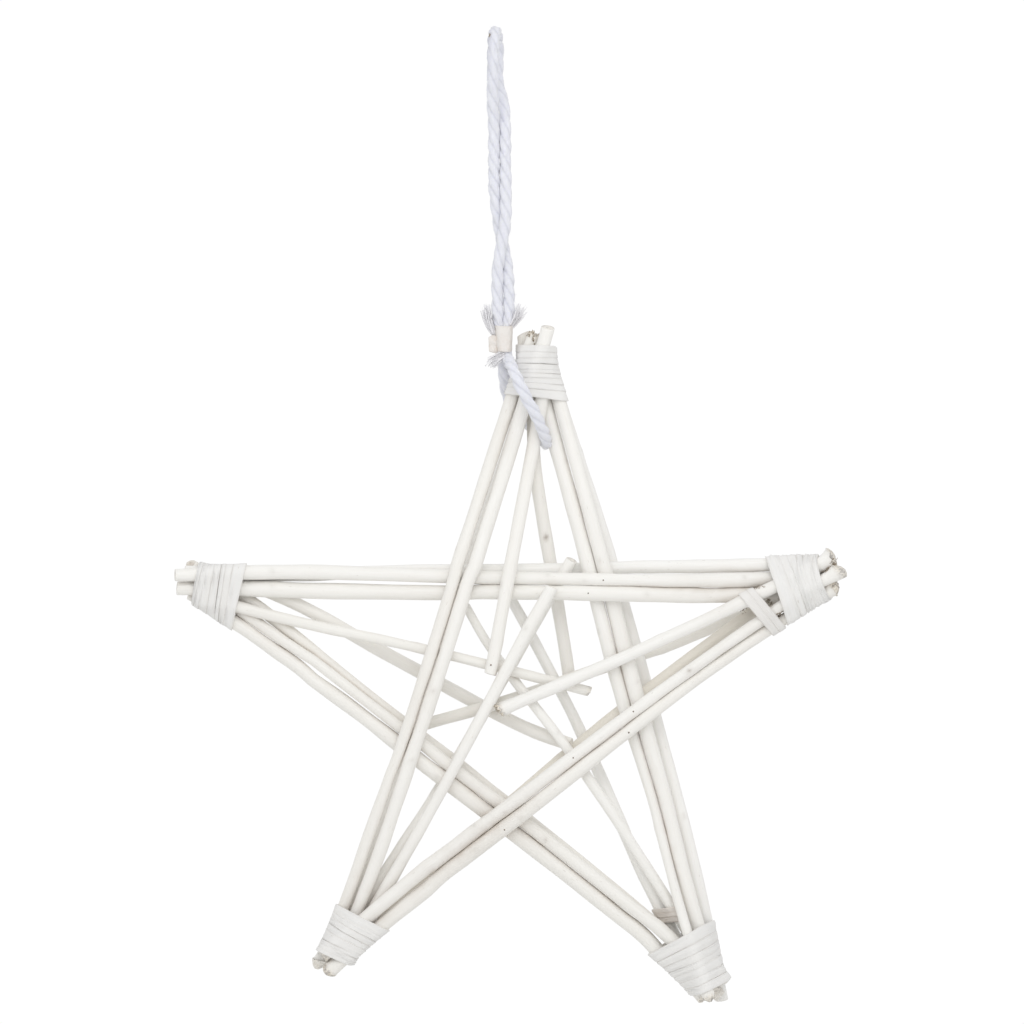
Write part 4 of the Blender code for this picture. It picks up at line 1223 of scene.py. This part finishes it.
def sampled(grid, stations, station, turn):
    """The sleeve between its grid points: a weighted mean of the four nearest, as whole arrays."""
    step = stations[1] - stations[0]
    i = np.clip((station - stations[0]) / step, 0, len(stations) - 1.001)
    j = (turn % 1.0) * (grid.shape[1] - 1)
    j = np.clip(j, 0, grid.shape[1] - 1.001)
    i0, j0 = i.astype(int), j.astype(int)
    p, q = (i - i0)[..., None], (j - j0)[..., None]
    return ((1 - p) * (1 - q) * grid[i0, j0] + p * (1 - q) * grid[i0 + 1, j0]
            + (1 - p) * q * grid[i0, j0 + 1] + p * q * grid[i0 + 1, j0 + 1])


def strip_rows(lines, direction, edges, seed, wrap_shade, pleated=1.0, hollows=(0.0,)):
    """One strip wound round the sticks, as rings of corners across it, with its values.

    The strip passes each side of the tip between that turn's two edges there, and changes
    evenly between the sides, drawn in by the hollows at the front. A corner at share v
    across it lies on the sleeve, lifted by the clearance and by the thickness times the
    crown, which is the square root of one less v to the sixth power on top of three
    fifths, a little higher on its inner edge. Pleats are a wandering wave of v that changes
    slowly along the strip.
    """
    values = settings("star_lashings")
    out = unit(direction)
    across = np.array([-out[2], 0.0, out[0]])
    origin = edge_middle(edges[0])
    sides = np.array([[at_pixel(*edge[:2]) - origin, at_pixel(*edge[2:]) - origin] for edge in edges])
    first = (sides @ across).argmax(1)
    row = np.arange(len(edges))
    ahead = np.stack([sides[row, first] @ out, sides[row, 1 - first] @ out], axis=1)
    turns = len(edges) - 1
    room = STATION_ROOM * MM
    stations = np.arange(ahead.min() - room, ahead.max() + room, STATION_STEP * MM)
    grid = sleeve(lines, origin, out, across, stations, values.steps)

    t = np.linspace(STRIP_START, turns - STRIP_START, round(turns * values.steps) + 1)
    at_side = np.repeat(np.arange(turns), 2) + np.tile([0.25, 0.75], turns)
    middle = np.interp(t, at_side, ((ahead[:-1] + ahead[1:]) / 2).ravel())
    half = np.interp(t, at_side, (np.abs(ahead[:-1] - ahead[1:]) / 2).ravel())
    half *= 1.0 + 0.05 * wander(t * 2.3, seed)
    half *= 1.05 * np.clip(np.minimum(t, turns - t) / 0.12, 0.25, 1.0)
    middle += 0.12 * MM * wander(t * 2.1, seed + 1)
    front = np.clip(-np.cos(2 * math.pi * t), 0, 1)
    middle -= np.interp(t, np.arange(len(hollows)), hollows) * PIXEL * MM * front

    top = np.sin(np.linspace(-1, 1, STRIP_TOP) * math.pi / 2)
    v = np.concatenate([top, np.linspace(0.9, -0.9, STRIP_UNDER)])
    crown = 0.6 + 0.4 * np.sqrt(np.clip(1 - top**6, 0, 1)) - 0.08 * top
    rough = 1 + 0.08 * wander(t * 3.7, seed + 2)[:, None]
    drift = v[None, :] * 4.5 + 1.5 * wander(t * 1.3, seed + 5)[:, None]
    depth = 1 + 0.5 * wander(t * 5.0, seed + 4)[:, None]
    folds = values.pleats * pleated * wander(drift, seed + 3) * depth
    station = middle[:, None] + v[None, :] * half[:, None]
    found = sampled(grid, stations, station, np.broadcast_to(t[:, None], station.shape))
    over = np.full(station.shape, float(values.clearance))
    over[:, :STRIP_TOP] += values.thickness * (crown * (rough + folds)[:, :STRIP_TOP])
    u = found[..., 0] + found[..., 2] * over
    w = found[..., 1] + found[..., 3] * over
    rows = origin + station[..., None] * out + u[..., None] * across + w[..., None] * BACK
    run = distance_along(rows[:, STRIP_TOP // 2])
    flat = np.stack([v[None, :] * half[:, None], over, np.broadcast_to(run[:, None], over.shape)], axis=-1)
    # The brown value is painted shade: none on the lashings, some on the wraps deep among the sticks
    return rows, {"straight": flat + np.random.default_rng(seed).uniform(0, 0.5, 3),
                  "edge": np.broadcast_to(np.abs(v) ** 8, over.shape), "wrap_shade": np.full(over.shape, wrap_shade)}


# Rope


def hanger_line():
    """The hanging loop's route: up one run, over the hook in a half circle and down the other."""
    runs = [[], []]
    for height, x, turn, apart in HANGER_PAIR:
        half = max(apart, RUNS_APART) / 2
        c, s = math.cos(math.radians(turn)), math.sin(math.radians(turn))
        for run, sign in zip(runs, (1, -1)):
            run.append((x + sign * half * c, sign * half * s, height))
    x = HANGER_PAIR[-1][1] + 0.1
    runs[0].append((x - RUNS_AT_TAPE / 2, 0.0, HANGER_END))
    runs[1].append((x + RUNS_AT_TAPE / 2, 0.0, HANGER_END))
    radius = LOOP_BEND_R
    top = settings("star_rope").diameter / MM / 2 - radius
    arc = [(TOP_TURN * math.cos(a), radius * math.cos(a), top + radius * math.sin(a))
           for a in (math.radians(degrees) for degrees in range(0, 181, 30))]
    return bent_curve(np.array(runs[0][::-1] + arc + runs[1]) * MM, settings("star_rope").spacing)


def rope_rows(line, reference, seed):
    """Three strands twisted together, as rings of corners, with their values.

    With b the angle from the nearest strand's middle, the rope's outline is the circle of
    that strand: d cos b + root(q squared - (d sin b) squared), for strands of radius q whose
    middles are d from the rope's. The angle turns backwards along the rope, once in each
    lay. Fuzz fills the grooves by a share. Yarns add a small wave round each strand that
    turns the other way, and a wandering wave makes it uneven.
    """
    values = settings("star_rope")
    radius = values.diameter / 2
    q, d = (share * radius for share in STRAND_SHARES)
    along = distance_along(line)
    squeezed = 1 - 0.2 * (bump(along, 4 * MM) + bump(along[-1] - along, 4 * MM))
    way, side, up = frames(line, reference)
    a = around(values.sides)
    turn = -2 * math.pi * along / values.lay + 0.5 * wander(along / (30 * MM), seed)
    third = 2 * math.pi / 3
    b = (a[None, :] - turn[:, None] + third / 2) % third - third / 2
    skin = d * np.cos(b) + np.sqrt(q**2 - (d * np.sin(b)) ** 2)
    round_strand = np.arctan2(skin * np.sin(b), skin * np.cos(b) - d)
    yarn = np.cos(values.yarns * round_strand + 2 * math.pi * along[:, None] / (YARN_LAY * MM))
    groove = np.clip(1 - (skin / radius - 0.66) / 0.22, 0, 1)
    lumps = 0.03 * wander(5 * a[None, :] + 3 * wander(along / (4 * MM), seed + 2)[:, None], seed + 3)
    skin = skin + values.filled * (0.95 * radius - skin)
    uneven = squeezed * (1 + 0.03 * wander(along / (7 * MM), seed + 1))
    skin = skin * (1 + 0.022 * yarn * (1 - groove) + lumps) * uneven[:, None]
    rows = line[:, None] + skin[..., None] * (side[:, None] * np.cos(a)[None, :, None]
                                              + up[:, None] * np.sin(a)[None, :, None])
    spun = a[None, :] - turn[:, None]
    flat = np.stack([skin * np.cos(spun), skin * np.sin(spun),
                     np.broadcast_to(along[:, None], skin.shape)], axis=-1)
    # Painted shade: grey in the grooves between the strands and between the yarns, and at the places greyed
    # by shade
    grey = groove**1.5 * 0.8 + 0.15 * (yarn < -0.5) * (1 - groove)
    for place, high, wide, amount in PAINTED_SHADE_PLACES:
        away = (rows - np.array(place) * MM) / (np.array([wide, 40.0, high]) * MM)
        grey = np.maximum(grey, amount * np.exp(-(away**2).sum(2)))
    return rows, {"straight": flat + 0.1 * seed, "groove": grey}


# The operators


class STAR_OT_stage(Operator):
    """Sets the camera as the photograph has it, soft light from all sides and a white ground"""

    bl_idname = "willow_star.stage"
    bl_label = "Camera, light and ground"

    def execute(self, context):
        values = settings("star_stage")
        context.scene.view_settings.view_transform = "Standard"
        self.set_camera(context.scene, values)
        self.set_world(context.scene, values)
        self.set_lights(values)
        self.lay_ground()
        return {"FINISHED"}

    def set_camera(self, scene, values):
        """Straight in front of the picture's middle, as far off as its lens needs for the view."""
        middle = at_pixel(*PHOTO_MIDDLE)
        data = bpy.data.cameras.new("camera")
        data.lens = values.lens
        data.sensor_width = SENSOR_WIDTH
        data.clip_end = CLIP_END
        scene.camera = placed("camera", data)
        scene.camera.location = (middle[0], -values.view * values.lens / SENSOR_WIDTH, middle[2])
        scene.camera.rotation_euler = (math.pi / 2, 0, 0)

    def set_world(self, scene, values):
        """The camera sees plain white, and the star is lit by a sky that is brighter in front."""
        scene.world = bpy.data.worlds.new("studio")
        scene.world.use_nodes = True
        tree = scene.world.node_tree
        tree.nodes.clear()
        seen = add_node(tree, "ShaderNodeBackground", {"Color": (1, 1, 1, 1), "Strength": SEEN_WHITE})
        toward = add_node(tree, "ShaderNodeTexCoord").outputs["Generated"]
        facing = add_node(tree, "ShaderNodeVectorMath", {0: toward, 1: SKY_WAY}, operation="DOT_PRODUCT")
        shine = ranged(tree, facing.outputs["Value"], -0.7, 0.7, values.back, values.sky)
        lit = add_node(tree, "ShaderNodeBackground", {"Color": (1, 1, 1, 1), "Strength": shine})
        path = add_node(tree, "ShaderNodeLightPath").outputs["Is Camera Ray"]
        both = add_node(tree, "ShaderNodeMixShader", {0: path, 1: lit.outputs[0], 2: seen.outputs[0]})
        add_node(tree, "ShaderNodeOutputWorld", {"Surface": both.outputs[0]})

    def set_lights(self, values):
        """The two soft lights, turned to the star."""
        for name, power in (("key", values.key), ("fill", values.fill)):
            place, size, colour = LIGHTS[name]
            lamp = bpy.data.lights.new(name, "AREA")
            lamp.size = size
            lamp.energy = power
            lamp.color = colour
            light = placed(name, lamp)
            aim = np.array(place) - np.array(LIT_PLACE)
            light.location = place
            light.rotation_euler = (math.acos(aim[2] / np.linalg.norm(aim)), 0, math.atan2(aim[0], -aim[1]))

    def lay_ground(self):
        """A white disc under the star."""
        a = around(GROUND_CORNERS)
        disc = np.stack([GROUND_RADIUS * np.cos(a), GROUND_RADIUS * np.sin(a),
                         np.full(len(a), GROUND_HEIGHT)], axis=1)
        mesh = bpy.data.meshes.new("ground")
        mesh.from_pydata(disc.tolist(), [], [tuple(range(len(a)))])
        material, tree, shader, _ = new_material("white ground")
        set_inputs(tree, shader, {"Base Color": COLOURS["ground"], "Roughness": 0.9})
        mesh.materials.append(material)
        ground = placed("ground", mesh)


class STAR_OT_ropes(Operator):
    """Twists the hanging loop and the lower loop of cotton rope, with the fuzz on them"""

    bl_idname = "willow_star.ropes"
    bl_label = "Ropes"

    def execute(self, context):
        values = settings("star_rope")
        cotton = material_named("twisted cotton", lambda: cotton_material(
            "twisted cotton", values.cotton, values.groove, 0.4))
        lower = bent_curve(np.array(LOWER_LOOP) * MM, values.spacing)
        normal = np.cross(lower - lower.mean(0), np.gradient(lower, axis=0)).sum(0)
        normal /= np.linalg.norm(normal)
        hanger = hanger_line()
        fuzz = []
        for name, node, line, reference, seed in (
                ("cotton_hanging_loop", "rope_hanging_loop", hanger, np.array([1.0, 0.0, 0.0]), 1),
                ("cotton_lower_loop", "rope_lower_loop", lower, normal, 2)):
            rows, grids = rope_rows(line, reference, seed)
            piece = tube_piece(name, rows, grids, cotton)
            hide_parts(node)
            route = line[::PATH_EVERY]
            if (len(line) - 1) % PATH_EVERY:
                route = np.vstack([route, line[-1:]])
            length = float(distance_along(route)[-1])
            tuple(line[0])
            fuzz.append(self.fuzz_on(line, rows, round(length / MM * FUZZ_PER_MM), seed))
        feet, ways = (np.vstack(part) for part in zip(*fuzz))
        ways = unit_rows(ways)
        chance = np.random.default_rng(9)
        count = len(feet)
        fibres_piece("rope_fuzz", feet, ways * chance.gamma(2.0, 0.42, (count, 1)) * MM,
                     chance.normal(0, 0.4, (count, 3)) * MM, np.full(count, 0.04 * MM), np.full(count, 0.8),
                     cotton, 4)
        return {"FINISHED"}

    def fuzz_on(self, line, rows, count, seed):
        """The feet and the ways of so many fibres on a rope's skin."""
        chance = np.random.default_rng(seed)
        i = chance.integers(0, rows.shape[0], count)
        j = chance.integers(0, rows.shape[1], count)
        foot = rows[i, j]
        out = unit_rows(foot - line[i])
        along = unit_rows(np.gradient(line, axis=0)[i])
        ways = (out * chance.uniform(0.2, 1.0, (count, 1)) + along * chance.normal(0, 0.8, (count, 1))
                + chance.normal(0, 0.25, (count, 3)))
        return foot - out * 0.1 * MM, ways


class STAR_OT_frays(Operator):
    """Frays the three loose rope ends at the tape"""

    bl_idname = "willow_star.frays"
    bl_label = "Frayed ends"

    def execute(self, context):
        grey = material_named("frayed cotton", lambda: cotton_material(
            "frayed cotton", FRAY_COLOUR, FRAY_DEEP, 0.0))
        for number, (node, (foot, bend, tip, low, high, yarns, count)) in enumerate(FRAYS.items()):
            foot, bend, tip = (np.array(point) * MM for point in (foot, bend, tip))
            chance = np.random.default_rng(40 + number)
            count += yarns
            yarn = np.arange(count) < yarns
            # Each fibre runs at its own share of the end's thickness: a point in a ball
            off = chance.normal(0, 1, (count, 3))
            off *= (np.sqrt(chance.uniform(0, 1, count)) / np.linalg.norm(off, axis=1))[:, None]
            feet = foot + off * low / 2 * MM
            tips = foot + (tip - foot) * chance.uniform(0.7, 1.05, (count, 1)) + off * high / 2 * MM
            tips += chance.normal(0, 0.9, (count, 3)) * MM
            bends = bend + off * (low + high) / 4 * MM + chance.normal(0, 0.6, (count, 3)) * MM
            radius = np.where(yarn, chance.uniform(0.16, 0.42, count), chance.uniform(0.05, 0.1, count)) * MM
            piece = fibres_piece(node.replace("frayed_end", "fray"), feet, 2 * (bends - feet),
                                 feet - 2 * bends + tips, radius, np.where(yarn, 0.4, 0.8), grey, 9)
            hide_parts(node)
        return {"FINISHED"}


class STAR_OT_tape(Operator):
    """Winds the cream tape round the four rope runs, with its loose tail"""

    bl_idname = "willow_star.tape"
    bl_label = "Tape band"

    def execute(self, context):
        tape = material_named("cloth tape", tape_material)
        (top_w, top_x, top_z), (low_w, low_x, low_z) = BAND_TOP, BAND_BOTTOM
        share = np.concatenate([[0.0, 0.0], np.linspace(0, 1, BAND_RINGS), [1.0, 1.0]])
        close = np.concatenate([[0.3, 0.94], np.ones(BAND_RINGS), [0.94, 0.3]])
        a = around(BAND_SIDES)
        width = top_w + (low_w - top_w) * share
        middle = top_x + (low_x - top_x) * share
        height = top_z + (low_z - top_z) * share
        square = (np.abs(np.cos(a)) ** 3 + np.abs(np.sin(a)) ** 3) ** (-1 / 3)
        wound = share[:, None] * BAND_WRAPS + a[None, :] / (2 * math.pi)
        wraps = 0.16 * np.abs(np.sin(math.pi * wound)) ** 0.5
        lobes = 0.22 * np.cos(2 * a)[None, :] * np.cos(a * 2 + 0.4)[None, :]
        crease = 0.10 * wander(a * 3.0, 61)[None, :] * wander(share * 5.0, 62)[:, None]
        out = close[:, None] * (1 + (wraps + lobes + crease) * 0.12 - 0.02) * square[None, :]
        rows = np.stack([middle[:, None] + width[:, None] / 2 * np.cos(a) * out,
                         BAND_DEPTH / 2 * np.sin(a) * out,
                         np.broadcast_to(height[:, None], out.shape) + 0.2 * np.sin(a * 2 + 1)], axis=-1) * MM
        piece = tube_piece("tape_wound", rows, {"straight": rows.copy()}, tape)
        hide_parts("tape_band")

        # The tail is a flat strip: along its rows, across its face and back across its rear
        share = np.linspace(0, 1, TAIL_RINGS)
        across = np.concatenate([np.linspace(-1, 1, TAIL_CORNERS), np.linspace(1, -1, TAIL_CORNERS)])
        face = np.concatenate([np.ones(TAIL_CORNERS), -np.ones(TAIL_CORNERS)])
        swell = np.clip(np.minimum(0.5 + 4 * share, 0.6 + 8 * (1 - share)), 0, 1)
        x = 0.9 - 4.6 * swell[:, None] * (0.5 + 0.5 * across[None, :]) + 0.25 * share[:, None]
        y = -3.2 + 0.9 * across[None, :] ** 2 + 0.16 * face[None, :] + 0.3 * wander(share * 4, 71)[:, None]
        z = top_z - 5.0 - 9.2 * share[:, None] + 0.4 * across[None, :]
        tail = np.stack([x, y, z], axis=-1) * MM
        tube_piece("tape_tail", tail, {"straight": tail.copy()}, tape)
        return {"FINISHED"}


class STAR_OT_sticks(Operator):
    """Builds the twenty-five peeled sticks over their solids"""

    bl_idname = "willow_star.sticks"
    bl_label = "Sticks"

    def execute(self, context):
        willow = material_named("peeled willow", lambda: willow_material(shared_groups()))
        sticks = all_sticks()
        for number, (name, line) in enumerate(sticks.items()):
            rows, grids = stick_rows(name, line, number)
            others = np.vstack([other for key, other in sticks.items() if key != name])
            # The gap mask: painted shade and stain between the sticks
            mask = gap_mask(rows.reshape(-1, 3), others)
            grids["gap"] = mask.reshape(rows.shape[:2])
            rod = name.replace("arm", "rod").replace("short", "rod_short")
            piece = tube_piece(rod, rows, grids, willow)
            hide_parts(name)
        return {"FINISHED"}


class STAR_OT_shreds(Operator):
    """Lays dark shreds of bark on the torn ends, and dark shreds as painted shade in the gaps beside the
    right lashing
    """

    bl_idname = "willow_star.shreds"
    bl_label = "Shreds of bark"

    def execute(self, context):
        bark_and_shade = material_named("willow bark and painted shade", lambda: cotton_material(
            "willow bark and painted shade", BARK_AND_SHADE_COLOUR, BARK_AND_SHADE_DEEP, 0.0))
        sticks = all_sticks()
        for name, line in sticks.items():
            along = distance_along(line[:, :3])
            line[:, 3] *= flare(name, along, along[-1])
        lines = np.vstack(list(sticks.values()))
        chance = np.random.default_rng(77)
        feet, ways = [], []
        for pixel, long, wide, angle, lean, count, depth in BARK_AND_SHADE_SHREDS:
            turn, lay = math.radians(angle), np.radians(chance.normal(lean, SHREDS_SPREAD, count))
            along, aside = chance.uniform(-long, long, count), chance.uniform(-wide, wide, count)
            shift = np.stack([along * math.cos(turn) - aside * math.sin(turn), np.zeros(count),
                              along * math.sin(turn) + aside * math.cos(turn)], axis=1)
            place = at_pixel(*pixel) + shift * PIXEL * MM
            far = np.linalg.norm((place[:, None] - lines[None, :, :3])[..., ::2], axis=2)
            skin = lines[:, 1] - np.sqrt(np.clip(lines[:, 3] ** 2 - far**2, 0, None))
            front = np.where(far < lines[:, 3], skin, NOTHING_BEHIND).min(1)
            place[:, 1] = np.where(front < NOTHING_BEHIND, front, depth * MM)
            feet.append(place)
            ways.append(np.stack([np.cos(lay), chance.normal(0, 0.2, count), np.sin(lay)], axis=1)
                        * chance.uniform(0.5, 1.7, (count, 1)) * MM)
        feet, ways = np.vstack(feet), np.vstack(ways)
        count = len(feet)
        fibres_piece("bark_and_shade_shreds", feet - ways / 2, ways, chance.normal(0, 0.12, (count, 3)) * MM,
                     chance.uniform(0.10, 0.28, count) * MM, np.full(count, 0.6), bark_and_shade, 4)
        return {"FINISHED"}


class STAR_OT_lashings(Operator):
    """Winds the five lashings at the tips and the two short wraps beside them"""

    bl_idname = "willow_star.lashings"
    bl_label = "Lashings"

    def execute(self, context):
        split = material_named("split willow", lambda: strip_material(shared_groups()))
        sticks = all_sticks()
        for number, (tip, (direction, edges)) in enumerate(LASHINGS.items()):
            lines = [line for name, line in sticks.items() if tip in stick_tips(name)]
            rows, grids = strip_rows(lines, direction, edges, 600 + 10 * number, 0.0, PLEATED.get(tip, 1.0),
                                     HOLLOWS.get(tip, (0.0,)))
            piece = tube_piece(f"strip_{tip}", rows, grids, split)
            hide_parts(f"lashing_{tip}")
        for number, (name, (inside, direction, edges, wrap_shade)) in enumerate(WRAPS.items()):
            lines = [sticks[key] for key in inside]
            rows, grids = strip_rows(lines, direction, edges, 700 + 10 * number, wrap_shade)
            tube_piece(f"wrap_{name}", rows, grids, split)
        return {"FINISHED"}


class STAR_OT_pins(Operator):
    """Sets the small nail heads on the crossings"""

    bl_idname = "willow_star.pins"
    bl_label = "Pin heads"

    def execute(self, context):
        steel = material_named("dark steel", steel_material)
        sticks = all_sticks()
        share, depth = np.array(PIN_PROFILE).T
        a = around(PIN_SIDES)
        for number, (stick, pixel, radius) in enumerate(PINS):
            line = sticks[stick]
            place = at_pixel(*pixel)
            nearest = seen_away(line[:, :3], pixel).argmin()
            aside = place - line[nearest, :3]
            aside[1] = 0.0
            r = line[nearest, 3]
            far = min(np.linalg.norm(aside), 0.8 * r)
            front = line[nearest, 1] - math.sqrt(r**2 - far**2)
            rows = np.empty((len(share), len(a), 3))
            rows[..., 0] = place[0] + share[:, None] * radius * MM * np.cos(a)
            rows[..., 2] = place[2] + share[:, None] * radius * MM * np.sin(a)
            rows[..., 1] = front + depth[:, None] * MM
            tube_piece(f"pin_{number + 1}", rows, {}, steel)
        return {"FINISHED"}


class STAR_PT_panel(Panel):
    """Lists the steps that build the star"""

    bl_idname = "STAR_PT_panel"
    bl_label = "Willow Star"
    bl_space_type = "VIEW_3D"
    bl_region_type = "UI"
    bl_category = "Willow Star"

    def draw(self, context):
        for operator in OPERATORS:
            self.layout.operator(operator.bl_idname)
        for group in GROUPS:
            box = self.layout.box()
            for key in GROUPS[group].__annotations__:
                box.prop(settings(group), key)


GROUPS = {"star_stage": StageSettings, "star_rope": RopeSettings, "star_sticks": StickSettings,
          "star_lashings": LashingSettings}
OPERATORS = (STAR_OT_stage, STAR_OT_ropes, STAR_OT_frays, STAR_OT_tape, STAR_OT_sticks, STAR_OT_lashings,
             STAR_OT_pins, STAR_OT_shreds)


def register():
    """Registers the settings, the operators and the panel."""
    for name, group in GROUPS.items():
        bpy.utils.register_class(group)
        setattr(bpy.types.Scene, name, PointerProperty(type=group))
    for cls in (*OPERATORS, STAR_PT_panel):
        bpy.utils.register_class(cls)


def unregister():
    """Takes them all back."""
    for cls in (STAR_PT_panel, *reversed(OPERATORS)):
        bpy.utils.unregister_class(cls)
    for name, group in GROUPS.items():
        delattr(bpy.types.Scene, name)
        bpy.utils.unregister_class(group)


def main():
    """Builds the whole star."""
    register()
    for operator in OPERATORS:
        group, action = operator.bl_idname.split(".")
        getattr(getattr(bpy.ops, group), action)()


if __name__ == "__main__":
    main()
